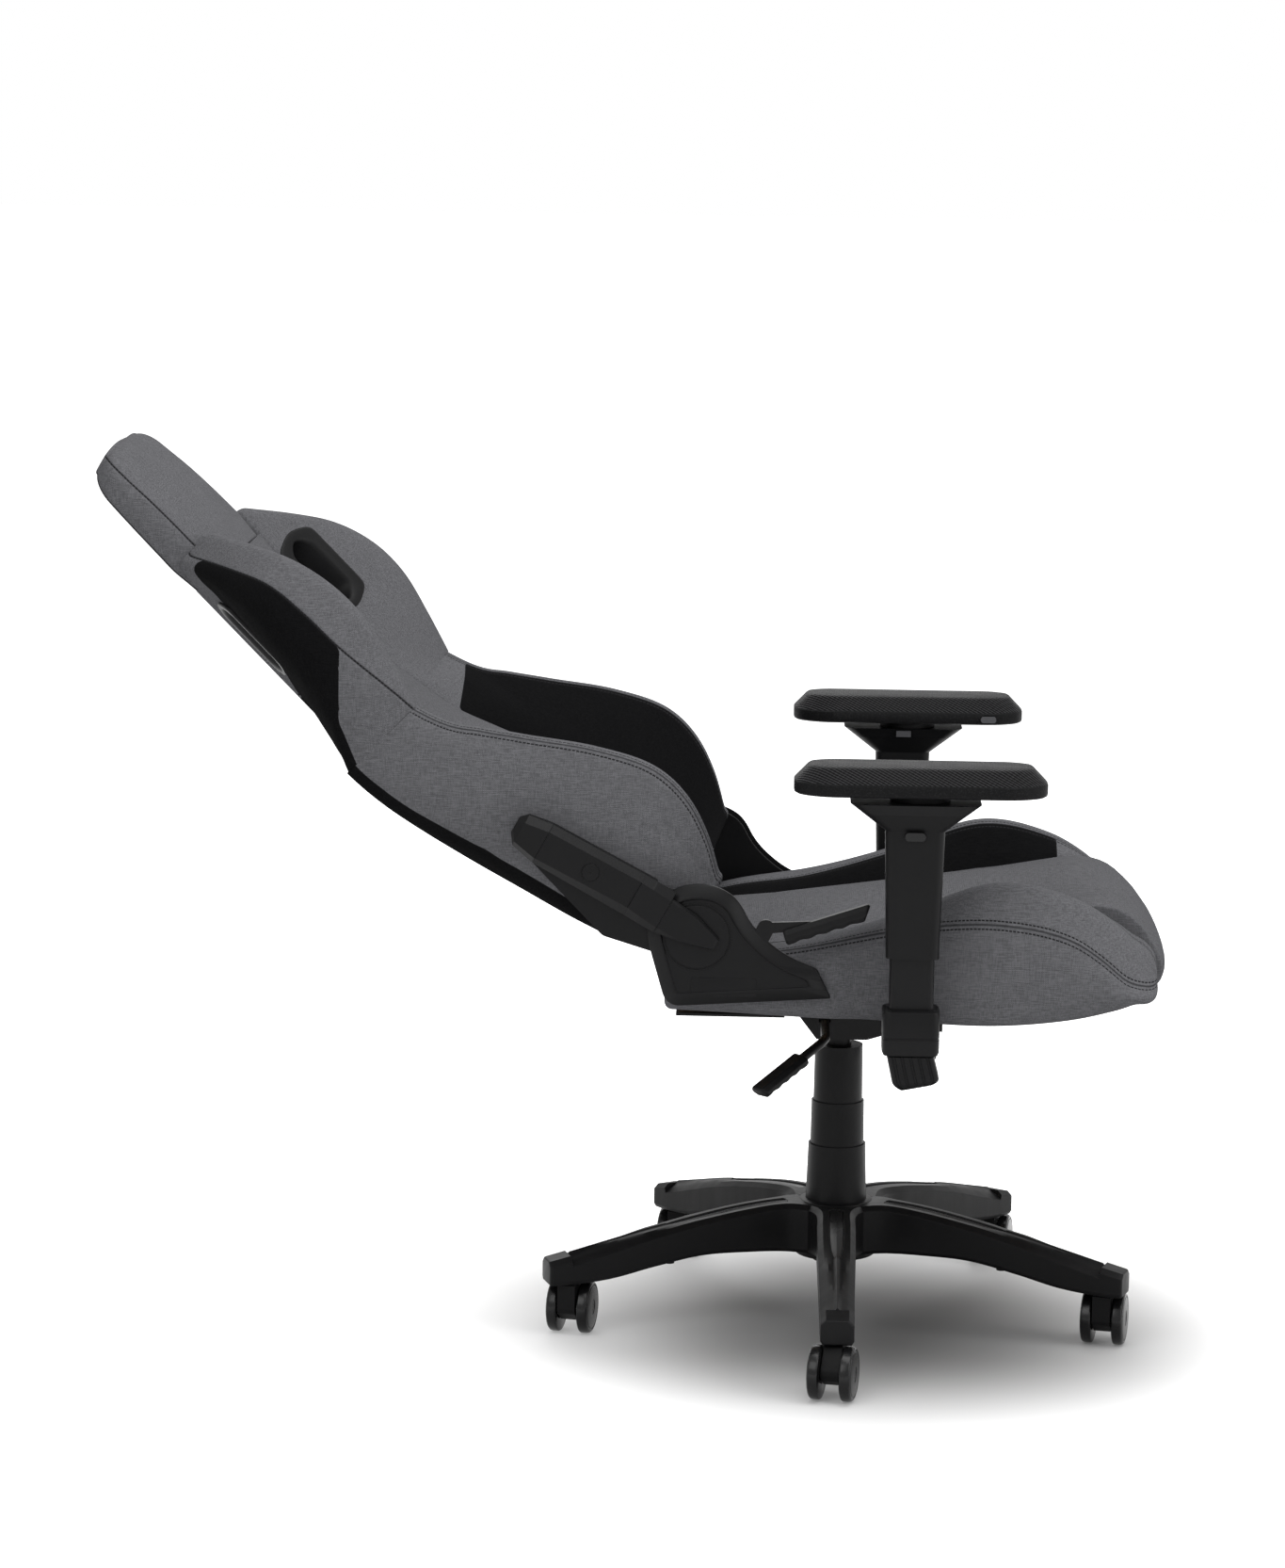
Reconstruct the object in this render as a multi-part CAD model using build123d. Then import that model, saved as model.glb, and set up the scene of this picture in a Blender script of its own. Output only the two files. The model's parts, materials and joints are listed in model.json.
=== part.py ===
"""Gaming chair: star base on castors, gas column, tilting seat, reclining winged back, sliding armrests.

Millimetres. +X is the way the sitter faces, +Y the sitter's left, +Z up. The origin lies on the floor
under the column. The back is drawn reclined onto its rear stop.
"""
from build123d import *
import os
from math import atan2, cos, degrees, hypot, radians, sin, tan

# Clearances
RUN = 0.05          # radial play of a pin or shaft in its own bore
SLIDE = 0.3         # play between faces that pass each other
SEAT_GAP = 0.3      # soft pieces stand this far off their neighbours
SOFT_GAP = 0.5      # seam gap between two upholstered pieces

# Star base
LEG_COUNT = 5
LEG_START_DEG = -90.0
STEM_CIRCLE_R = 313.0
LEG_OVERHANG = 25.0
LEG_ROOT_W = 44.0
LEG_TIP_W = 37.0
LEG_WALL = 4.5
LEG_SHOULDER = 7.0
LEG_ROOT_TOP = 142.0
LEG_MID_TOP = 126.0
LEG_TIP_TOP = 93.0
LEG_ROOT_BOTTOM = 86.0
LEG_MID_BOTTOM = 86.0
HUB_R = 46.0
HUB_TOP = 139.0
HUB_BOTTOM = 78.0
SOCKET_R = 12.0

# Castors
WHEEL_R = 29.5
WHEEL_W = 13.0
WHEEL_EDGE = 3.0
WHEEL_DISH = 2.0
CORE_W = 20.0
CORE_R = 24.0
CORE_GAP = 1.2
CASTOR_TRAIL = 18.0
CASTOR_HEADINGS = (-102.0, 78.0, 78.0, 78.0, 78.0)
STEM_R = 5.5
STEM_GRIP = 24.0
STEM_DEPTH = 13.0
AXLE_R = 4.0
FORK_TOP_GAP = 0.8
LEG_LIFT = 2.0      # leg underside above the wheels' tops

# Gas column
STAND_R = 25.0
STAND_WALL = 2.0
STAND_FOOT = 70.0
STAND_TOP = 224.0
STAND_FLOOR = 4.0
GUIDE_LENGTH = 60.0
GAS_R = 14.0
GAS_WALL = 3.0
GAS_BOTTOM = 160.0
GAS_TOP = 356.0
ROD_GUIDE = 10.0
ROD_R = 5.0
PISTON_H = 8.0
LIFT_UP = 10.0
BUTTON_R = 5.0
BUTTON_H = 8.0
BUTTON_SEAT = 16.0

# Telescopic sleeves
SLEEVE_WALL = 1.6
SLEEVE_LAP = 9.0
SLEEVE_LOWER_TOP = 205.0
SLEEVE_MIDDLE_TOP = 254.5
SLEEVE_UPPER_TOP = 318.5
SLEEVE_DRAFT = 0.7
SLEEVE_CAP = 2.5
SLEEVE_PLAY = 0.35

# Tilt mechanism
PAN_BOTTOM = 392.0
PLATE_T = 6.0
PLATE_X = (-95.0, 118.0)
PLATE_W = 190.0
PLATE_HOLE = 92.0
PLATE_RIM = 16.0
PLATE_CORNER = 12.0
HOUSING_W = 116.0
HOUSING_WALL = 4.0
HOUSING_BOTTOM = 335.0
HOUSING_REAR = -48.0
HOUSING_HEEL = 22.0
HOUSING_STEP = 11.0
HOUSING_FLAT = 16.0
HOUSING_NOSE = 12.0
BOSS_WALL = 6.0
BOSS_DROP = 6.0
HOUSING_FRONT = 114.0
TILT_X = 48.0
TILT_Z = 366.0
TILT_PIN_R = 5.0
TILT_PIN_END = 4.0
TILT_MAX_DEG = 12.0
EAR_T = 5.0
EAR_R = 13.0
KNOB_X = 88.0
KNOB_R = 22.0
KNOB_H = 22.0
KNOB_FLUTES = 12
KNOB_BOLT_R = 4.0
BOLT_SLOT = 16.0
BOLT_PLAY = 1.5
BUFFER_H = 22.0
BUFFER_R = 15.0

# Lift lever
LEVER_X = -17.0
LEVER_Z = 357.0
LEVER_PIVOT_Y = 48.0
LEVER_PIN_R = 3.5
LEVER_PIN_HALF = 12.0
LEVER_EAR_GAP = 2.0
LEVER_EAR_R = 6.0
LEVER_ROD_R = 5.0
LEVER_PLAY = 1.7
LEVER_BEND_Y = 165.0
LEVER_TONGUE_T = 5.0
LEVER_BEND_R = 26.0
LEVER_END = (-88.0, 236.0, 312.0)
LEVER_GRIP_LENGTH = 70.0
LEVER_GRIP_BORE = 40.0
LEVER_GRIP_W = 24.0
LEVER_GRIP_T = 13.0

# Seat
PAN_T = 12.0
PAN_HALF_W = 164.0
PAN_REAR = -178.0
PAN_FRONT = 240.0
SEAT_REAR = -194.0
SEAT_FRONT = 363.0
SEAT_LIP_BOTTOM = 398.0
SEAT_REAR_TOP = 458.0
SEAT_MID_X = 30.0
SEAT_MID_TOP = 478.0
SEAT_CREST_X = 296.0
SEAT_CREST_TOP = 522.0
SEAT_CROWN = 9.0
SEAT_SIDE_DRAW = 8.0
SEAT_HALF_W = 258.0
BOLSTER_BOTTOM = 393.0
BOLSTER_STATIONS = (
    # x, crest height, crest half-width, inner height
    (-190.0, 452.0, 214.0, 446.0),
    (-120.0, 467.0, 216.0, 458.0),
    (-40.0, 478.0, 217.0, 464.0),
    (60.0, 508.0, 218.0, 478.0),
    (165.0, 543.0, 218.0, 496.0),
    (245.0, 528.0, 216.0, 503.0),
    (300.0, 490.0, 212.0, 478.0),
    (340.0, 436.0, 206.0, 430.0),
)
SEAT_BOLT_R = 4.0
SEAT_BOLT_HEAD_R = 7.0
SEAT_BOLT_HEAD_H = 4.0

# Recline hinge
PIVOT_X = -157.0
PIVOT_Z = 490.0
HINGE_PLATE_Y = 261.0
HINGE_PLATE_T = 5.0
HINGE_PLATE_GAP = 0.5
HINGE_DISC_R = 36.0
STUD_R = 8.0
FLANGE_T = 5.0
HINGE_FOOT_L = 124.0
HINGE_FOOT_H = 28.0
FLANGE_INNER_Y = 140.0
COVER_T = 11.0
COVER_GAP = 1.5
COVER_RIM_R = 55.0
COVER_BOSS_R = 7.0
COVER_BOSSES = ((2.0, -62.0), (106.0, -62.0))
COVER_EDGE = (
    # corners of the cover round the pivot, from its rear edge by its foot to its swept top
    (-48.0, -18.0),
    (-27.0, -76.0),
    (144.0, -64.0),
    (130.0, -30.0),
    (92.0, -13.0),
    (62.0, 12.0),
    (30.0, 46.0),
)
ARM_COVER_T = 10.0
ARM_COVER_HALF_W = 24.0
ARM_COVER_LENGTH = 236.0
ARM_COVER_CLEAR_R = 63.0
RECLINE_PIN_X = -108.0
RECLINE_PIN_Z = 452.0
RECLINE_PIN_R = 6.0
RECLINE_TAB_T = 4.0
RECLINE_TAB_W = 18.0
RECLINE_ELBOW = (-84.0, 500.0)
RECLINE_GRIP_START = (-64.0, 490.0)
RECLINE_GRIP_END = (26.0, 520.0)
RECLINE_GRIP_H = 16.0
RECLINE_GRIP_W = 15.0
RECLINE_LIFT_DEG = 16.0

# Backrest: a spine line up the rear face, straight, bent, straight
BACK_FOOT_X = -206.0
BACK_FOOT_Z = 452.0
BACK_LOW_DEG = 29.1
BACK_UP_DEG = 45.5
BACK_LOW_LENGTH = 290.0
BACK_BEND_LENGTH = 100.0
BACK_LENGTH = 800.0
BACK_START = 12.0
CENTRE_HALF_W = 128.0
PANEL_DEPTH = 34.0
PANEL_WALL = 6.0
WING_FOOT = 386.0
HEAD_START = 642.0
HEAD_FLARE = 30.0
HEAD_HALF_W = 142.0
HEAD_CORNER_R = 42.0
PAD_CROWN = 9.0
PAD_CROWN_R = 300.0
PAD_SHOULDER = 4.0
PAD_STATIONS = (
    # distance up the spine, front height
    (BACK_START, 70.0),
    (150.0, 96.0),
    (330.0, 80.0),
    (540.0, 62.0),
    (HEAD_START - SOFT_GAP, 63.0),
)
HEAD_FRONT = 66.0
HEAD_TOP_FRONT = 56.0
LUMBAR_STATIONS = (
    # distance up the spine, rear height, crest height, crest half-width, outer half-width, inner height
    (-22.0, 66.0, 112.0, 226.0, 244.0, 84.0),
    (14.0, 12.0, 150.0, 230.0, 254.0, 84.0),
    (54.0, 4.0, 177.0, 236.0, 258.0, 92.0),
    (100.0, 2.0, 189.0, 240.0, 258.0, 98.0),
    (165.0, 2.0, 176.0, 242.0, 258.0, 96.0),
    (240.0, 2.0, 148.0, 241.0, 258.0, 88.0),
    (310.0, 2.0, 122.0, 239.0, 258.0, 80.0),
    (WING_FOOT - SOFT_GAP, 2.0, 107.0, 238.0, 258.0, 74.0),
)
WING_STATIONS = (
    # distance up the spine, rear inner, rear outer, crest height, crest half-width,
    # outer half-width, seam height, inner height
    (WING_FOOT, 2.0, 4.0, 107.0, 238.0, 258.0, 72.0, 74.0),
    (434.0, 3.0, 24.0, 121.0, 242.0, 266.0, 86.0, 70.0),
    (492.0, 5.0, 42.0, 134.0, 245.0, 268.0, 93.0, 67.0),
    (540.0, 6.0, 46.0, 133.0, 240.0, 261.0, 91.0, 66.0),
    (590.0, 6.0, 46.0, 118.0, 220.0, 244.0, 82.0, 66.0),
    (630.0, 5.0, 34.0, 94.0, 188.0, 204.0, 58.0, 64.0),
    (664.0, 3.0, 12.0, 68.0, 158.0, 168.0, 32.0, 58.0),
)
SLOT_S = 558.0
SLOT_LENGTH = 104.0
SLOT_W = 36.0
SLOT_MARGIN = 11.0
SLOT_POINT = 14.0
BEZEL_WALL = 4.0
BEZEL_LOW = 24.0
BEZEL_HIGH = 84.0
FRAME_TUBE_R = 10.0
FRAME_TUBE_WALL = 2.5
FRAME_HALF_W = 100.0
FRAME_LEVEL = 20.0
FRAME_CROSS_S = 62.0
FRAME_TOP_DROP = 100.0

# Armrests
ARM_Y = 290.0
ARM_X = 71.5
PAD_Y = 285.0
PAD_X = 76.5
PAD_LENGTH = 267.5
PAD_W = 100.0
PAD_RIM_H = 14.0
PAD_BEVEL_H = 16.0
PAD_BEVEL = 15.0
PAD_CORNER = 30.0
TURN_R = 32.0
TURN_H = 7.0
PLATE_UNDER_H = 11.0
PLATE_UNDER_L = 138.0
PLATE_UNDER_W = 80.0
PLATE_UNDER_TAPER = 14.0
HEAD_NECK_H = 19.0
HEAD_TOP_L = 110.0
HEAD_TOP_W = 68.0
POST_FOOT_Z = 475.0
POST_NECK_Z = 612.0
POST_FOOT_L = 56.0
POST_NECK_L = 63.0
POST_FOOT_W = 40.0
POST_NECK_W = 44.0
TUBE_L = 47.0
TUBE_W = 30.0
TUBE_WALL = 3.0
TUBE_TOP_Z = 545.0
COLLAR_L = 61.0
COLLAR_W = 48.0
COLLAR_FOOT_Z = 370.0
COLLAR_H = 49.5
ARM_FOOT_H = 34.0
ARM_FOOT_L = 52.0
BAR_W = 36.0
BAR_T = 8.0
BAR_INNER_Y = 112.0
BAR_LOW_Z = 348.0
BAR_RISE_Y = 228.0
TRIGGER_L = 22.0
TRIGGER_H = 9.0
TRIGGER_OUT = 4.0
TRIGGER_TRAVEL = 3.0
TRIGGER_DROP = 5.0
RELEASE_L = 17.0
RELEASE_H = 7.0
RELEASE_OUT = 2.5
RELEASE_TRAVEL = 2.0
PAD_BUTTON_X = 93.0
PAD_BUTTON_L = 18.0

# Heights that follow from the sizes above
LEG_TIP_BOTTOM = 2 * WHEEL_R + LEG_LIFT
GAS_BUTTON_TOP = GAS_TOP + BUTTON_H
PLATE_BOTTOM = PAN_BOTTOM - PLATE_T
PAN_TOP = PAN_BOTTOM + PAN_T
BACK_PLATE_Y = HINGE_PLATE_Y + HINGE_PLATE_T + HINGE_PLATE_GAP
COVER_Y = BACK_PLATE_Y + HINGE_PLATE_T + COVER_GAP
ARM_BLADE_Y = COVER_Y + COVER_T + COVER_GAP
POST_TOP_Z = POST_NECK_Z + HEAD_NECK_H
ARM_PLATE_Z = POST_TOP_Z + SLIDE
TURN_Z = ARM_PLATE_Z + PLATE_UNDER_H + SLIDE
PAD_Z = TURN_Z + TURN_H + SLIDE
KNOB_TOP = HOUSING_BOTTOM + HOUSING_STEP - BUFFER_H - 2 * SLIDE

HEAD_WIDE_START = HEAD_START + HEAD_FLARE
SLOT_INNER = CENTRE_HALF_W + SLOT_MARGIN
FRAME_TOP_S = BACK_LENGTH - FRAME_TOP_DROP

PARTS = {}


def keep(name, shape):
    """Store one node's shape, or group of shapes, under its name."""
    PARTS[name] = shape


def both_sides(shape):
    """A right-hand piece together with its mirror image on the left."""
    return Compound(children=[shape, mirror(shape, about=Plane.XZ)])


def profile(points, radii):
    """Closed face through corner points, each corner rounded to its own radius."""
    return make_face(FilletPolyline(*points, radius=radii, close=True))


def side_plate(sketch, y, thickness):
    """Right-hand plate drawn in X and Z, from distance y outwards by its thickness."""
    return extrude(Plane.XZ.offset(y) * sketch, thickness)


def box_between(low, high):
    """Box from its lowest to its highest corner."""
    size = [b - a for a, b in zip(low, high)]
    middle = [(a + b) / 2 for a, b in zip(low, high)]
    return Pos(*middle) * Box(*size)


def rounded_bar(x, y, length, width, z, height, corner):
    """Upright bar with rounded plan corners, standing on height z."""
    return Pos(x, y, z) * extrude(RectangleRounded(length, width, corner), height)


def tapered_bar(sections):
    """Loft through rounded rectangles given as x, y, z, length, width and corner radius."""
    faces = [Pos(x, y, z) * RectangleRounded(l, w, r) for x, y, z, l, w, r in sections]
    return loft(faces)


def cylinder_between(start, end, radius):
    """Round bar between two points."""
    axis = Vector(end) - Vector(start)
    return extrude(Plane(start, z_dir=axis) * Circle(radius), axis.length)


# Backrest spine


def spine(s):
    """Point and tangent of the rear spine line at distance s from its foot, in X and Z."""
    low = radians(BACK_LOW_DEG)
    turn = radians(BACK_UP_DEG - BACK_LOW_DEG)
    radius = BACK_BEND_LENGTH / turn
    along = min(max(s - BACK_LOW_LENGTH, 0.0), BACK_BEND_LENGTH)
    angle = low + along / radius
    straight_low = min(s, BACK_LOW_LENGTH)
    straight_up = max(s - BACK_LOW_LENGTH - BACK_BEND_LENGTH, 0.0)
    run = straight_low * cos(low) + radius * (sin(angle) - sin(low)) + straight_up * cos(angle)
    rise = straight_low * sin(low) - radius * (cos(angle) - cos(low)) + straight_up * sin(angle)
    return BACK_FOOT_X - run, BACK_FOOT_Z + rise, angle


def on_back(s, b):
    """X and Z of a point b in front of the spine at distance s."""
    x, z, angle = spine(s)
    return x + b * sin(angle), z + b * cos(angle)


def back_plane(s, b=0.0):
    """Section plane across the back: local x to the sitter's right, local y to the front."""
    angle = spine(s)[2]
    x, z = on_back(s, b)
    return Plane((x, 0, z), x_dir=(0, -1, 0), z_dir=(-cos(angle), 0, sin(angle)))


def band_edges(b, start, end):
    """Edges of the line that stays b in front of the spine: straight, arc, straight."""
    bend_end = BACK_LOW_LENGTH + BACK_BEND_LENGTH
    p0 = on_back(start, b)
    p1 = on_back(BACK_LOW_LENGTH, b)
    pm = on_back((BACK_LOW_LENGTH + bend_end) / 2, b)
    p2 = on_back(bend_end, b)
    p3 = on_back(end, b)
    return [Line(p0, p1), ThreePointArc(p1, pm, p2), Line(p2, p3)]


def band(b_low, b_high, start, end, half_w):
    """Slab that follows the spine between two heights and two distances."""
    rear = band_edges(b_low, start, end)
    front = band_edges(b_high, start, end)
    ends = [Line(rear[0] @ 0, front[0] @ 0), Line(rear[2] @ 1, front[2] @ 1)]
    face = make_face(rear + front + ends)
    return extrude(Plane.XZ * face, half_w, both=True)


# Star base and castors


def leg_section(r, width, bottom, top, shoulder):
    """Leg cross-section at radius r: flat underside, upright flanks, sloped shoulders."""
    half = width / 2
    plane = Plane((r, 0, 0), x_dir=(0, 1, 0), z_dir=(1, 0, 0))
    flank = top - shoulder
    points = [(-half, bottom), (half, bottom), (half, flank)]
    points += [(half - shoulder, top), (shoulder - half, top), (-half, flank)]
    return plane * make_face(Polyline(*points, close=True))


def leg(inset, below):
    """One leg along +X, drawn in by an inset and reaching below its underside."""
    tip = STEM_CIRCLE_R + LEG_OVERHANG
    mid = STEM_CIRCLE_R * 0.52
    neck = STEM_CIRCLE_R - SOCKET_R - LEG_OVERHANG
    mid_w = (LEG_ROOT_W + LEG_TIP_W) / 2 + 2
    rows = [
        (STAND_R + SOCKET_R, LEG_ROOT_W, LEG_ROOT_BOTTOM, LEG_ROOT_TOP),
        (mid, mid_w, LEG_MID_BOTTOM, LEG_MID_TOP),
        (neck, LEG_TIP_W + 1, LEG_TIP_BOTTOM + 2, (LEG_MID_TOP + LEG_TIP_TOP) / 2 - 2),
        (tip - inset, LEG_TIP_W - 4, LEG_TIP_BOTTOM, LEG_TIP_TOP - 6),
    ]
    faces = []
    for r, width, bottom, top in rows:
        faces.append(leg_section(r, width - 2 * inset, bottom - below, top - inset, LEG_SHOULDER))
    return loft(faces)


def star_base():
    """Hub, arched hollow legs and castor sockets as one moulding."""
    hollow = leg(LEG_WALL, LEG_WALL)
    one = leg(0.0, 0.0) - hollow
    reach = STEM_CIRCLE_R + 2 * LEG_OVERHANG
    one -= box_between((0, -LEG_ROOT_W, 0), (reach, LEG_ROOT_W, LEG_TIP_BOTTOM))
    socket_h = LEG_TIP_TOP - LEG_TIP_BOTTOM
    one += Pos(STEM_CIRCLE_R, 0, LEG_TIP_BOTTOM) * extrude(Circle(SOCKET_R), socket_h)
    one -= Pos(STEM_CIRCLE_R, 0, LEG_TIP_BOTTOM) * extrude(Circle(STEM_R + RUN), STEM_GRIP)
    hub = Pos(0, 0, HUB_BOTTOM) * extrude(Circle(HUB_R), HUB_TOP - HUB_BOTTOM)
    hub = fillet(hub.faces().sort_by(Axis.Z)[-1].edges(), 4.0)
    body = hub
    for k in range(LEG_COUNT):
        body += Rot(0, 0, LEG_START_DEG + 360 * k / LEG_COUNT) * one
    body -= extrude(Circle(STAND_R + RUN), HUB_TOP + SLIDE)
    return body


def stem_place(k):
    """Location of the castor stem of leg k on the floor."""
    angle = radians(LEG_START_DEG + 360 * k / LEG_COUNT)
    return STEM_CIRCLE_R * cos(angle), STEM_CIRCLE_R * sin(angle)


def castor_frame(k):
    """Castor k's own frame: stem on its Z axis, wheels trailing along its +X."""
    x, y = stem_place(k)
    return Pos(x, y, 0) * Rot(0, 0, CASTOR_HEADINGS[k])


def castor_wheel(outwards):
    """One wheel on its axle line, dished on the outer face, on the side it is given."""
    inner = CORE_W / 2 + CORE_GAP
    outer = inner + WHEEL_W
    hole = AXLE_R
    points = [(hole, inner), (WHEEL_R, inner), (WHEEL_R, outer - WHEEL_DISH)]
    points += [(WHEEL_R - 2 * WHEEL_EDGE, outer), (hole, outer)]
    radii = [0, 1.0, WHEEL_EDGE, 6.0, 0]
    ring = revolve(profile(points, radii), Axis.Y)
    place = Pos(CASTOR_TRAIL, 0, WHEEL_R)
    return place * (ring if outwards > 0 else mirror(ring, about=Plane.XZ))


def castor_axle():
    """Axle through both wheels and the core."""
    half = CORE_W / 2 + CORE_GAP + WHEEL_W - WHEEL_EDGE
    return Pos(CASTOR_TRAIL, 0, WHEEL_R) * Rot(90, 0, 0) * Cylinder(AXLE_R, 2 * half)


def castor_fork():
    """Core between the wheels, carried on the stem and bored for the axle."""
    top = LEG_TIP_BOTTOM - FORK_TOP_GAP
    head_w = 2 * (STEM_R + 4.0)
    floor = WHEEL_R - CORE_R + 8.0
    front = -STEM_R - 5.0
    rear = CASTOR_TRAIL + CORE_R - 6.0
    points = [(front, top), (front, floor + 14), (CASTOR_TRAIL - 6, floor)]
    points += [(rear, floor + 12), (rear, WHEEL_R + 6), (CASTOR_TRAIL, top)]
    core = extrude(Plane.XZ * profile(points, [2, 8, 10, 10, 10, 8]), CORE_W / 2, both=True)
    core += Pos(0, 0, top - STEM_DEPTH) * extrude(Circle(head_w / 2), STEM_DEPTH)
    core -= Pos(0, 0, top - STEM_DEPTH) * extrude(Circle(STEM_R + RUN), STEM_DEPTH)
    core -= Pos(CASTOR_TRAIL, 0, WHEEL_R) * Rot(90, 0, 0) * Cylinder(AXLE_R + RUN, 2 * CORE_W)
    return core


def build_base():
    keep("star_base", star_base())
    stems = []
    stem_foot = LEG_TIP_BOTTOM - FORK_TOP_GAP - STEM_DEPTH
    stem_h = STEM_GRIP + FORK_TOP_GAP + STEM_DEPTH
    for k in range(LEG_COUNT):
        x, y = stem_place(k)
        stems.append(Pos(x, y, stem_foot) * extrude(Circle(STEM_R), stem_h))
    keep("castor_stems", Compound(children=stems))
    for k in range(LEG_COUNT):
        frame = castor_frame(k)
        keep(f"castor_{k + 1}_fork", frame * castor_fork())
        pieces = [frame * castor_wheel(1), frame * castor_wheel(-1), frame * castor_axle()]
        keep(f"castor_{k + 1}_wheels", Compound(children=pieces))


# Gas column and its sleeves


def ring(radius, bore, z, height):
    """Plain ring standing on height z."""
    return Pos(0, 0, z) * extrude(Circle(radius) - Circle(bore), height)


def sleeve(foot_r, top_r, z, top_z, cap_bore):
    """Drafted sleeve with an even wall, and a cap ring at its top where a bore is given."""
    outer = loft([Pos(0, 0, z) * Circle(foot_r), Pos(0, 0, top_z) * Circle(top_r)])
    inner = loft([
        Pos(0, 0, z) * Circle(foot_r - SLEEVE_WALL),
        Pos(0, 0, top_z) * Circle(top_r - SLEEVE_WALL),
    ])
    body = outer - inner
    if cap_bore:
        body += ring(top_r - SLEEVE_WALL / 2, cap_bore, top_z - SLEEVE_CAP, SLEEVE_CAP)
    return body


def build_column():
    tube = ring(STAND_R, STAND_R - STAND_WALL, STAND_FOOT, STAND_TOP - STAND_FOOT)
    tube += Pos(0, 0, STAND_FOOT) * extrude(Circle(STAND_R - STAND_WALL / 2), STAND_FLOOR)
    keep("stand_tube", tube)
    guide_bore = GAS_R + RUN
    guide = ring(STAND_R - STAND_WALL, guide_bore, STAND_TOP - GUIDE_LENGTH, GUIDE_LENGTH)
    keep("guide_bush", guide)
    piston_z = GAS_BOTTOM + ROD_GUIDE + LIFT_UP + 1.0
    rod_foot = STAND_FOOT + STAND_FLOOR
    rod = Pos(0, 0, rod_foot) * extrude(Circle(ROD_R), piston_z - rod_foot)
    rod += Pos(0, 0, piston_z) * extrude(Circle(GAS_R - GAS_WALL - RUN), PISTON_H)
    keep("piston_rod", rod)
    gas = Pos(0, 0, GAS_BOTTOM) * extrude(Circle(GAS_R), GAS_TOP - GAS_BOTTOM)
    chamber_top = GAS_TOP - BUTTON_SEAT - GAS_WALL
    chamber_z = GAS_BOTTOM + ROD_GUIDE
    gas -= Pos(0, 0, chamber_z) * extrude(Circle(GAS_R - GAS_WALL), chamber_top - chamber_z)
    gas -= Pos(0, 0, GAS_BOTTOM) * extrude(Circle(ROD_R + RUN), ROD_GUIDE)
    gas -= Pos(0, 0, GAS_TOP - BUTTON_SEAT) * extrude(Circle(BUTTON_R + RUN), BUTTON_SEAT)
    keep("gas_spring", gas)
    press_room = BUTTON_SEAT - BUTTON_H
    button = Pos(0, 0, GAS_TOP - press_room) * extrude(Circle(BUTTON_R), press_room + BUTTON_H)
    keep("release_button", button)

    upper_foot_z = SLEEVE_MIDDLE_TOP - SLEEVE_LAP
    middle_foot_z = SLEEVE_LOWER_TOP - SLEEVE_LAP
    upper_r = STAND_R + SLEEVE_PLAY + SLEEVE_WALL
    upper_foot_r = upper_r + SLEEVE_DRAFT
    middle_r = upper_foot_r + SLEEVE_PLAY + SLEEVE_WALL
    middle_foot_r = middle_r + SLEEVE_DRAFT
    lower_r = middle_foot_r + SLEEVE_PLAY + SLEEVE_WALL
    lower_foot_r = lower_r + 3 * SLEEVE_DRAFT
    keep("sleeve_upper", sleeve(upper_foot_r, upper_r, upper_foot_z, SLEEVE_UPPER_TOP, GAS_R))
    keep("sleeve_middle", sleeve(middle_foot_r, middle_r, middle_foot_z, SLEEVE_MIDDLE_TOP, 0))
    keep("sleeve_lower", sleeve(lower_foot_r, lower_r, HUB_TOP, SLEEVE_LOWER_TOP, 0))


# Tilt mechanism and lift lever


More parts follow.
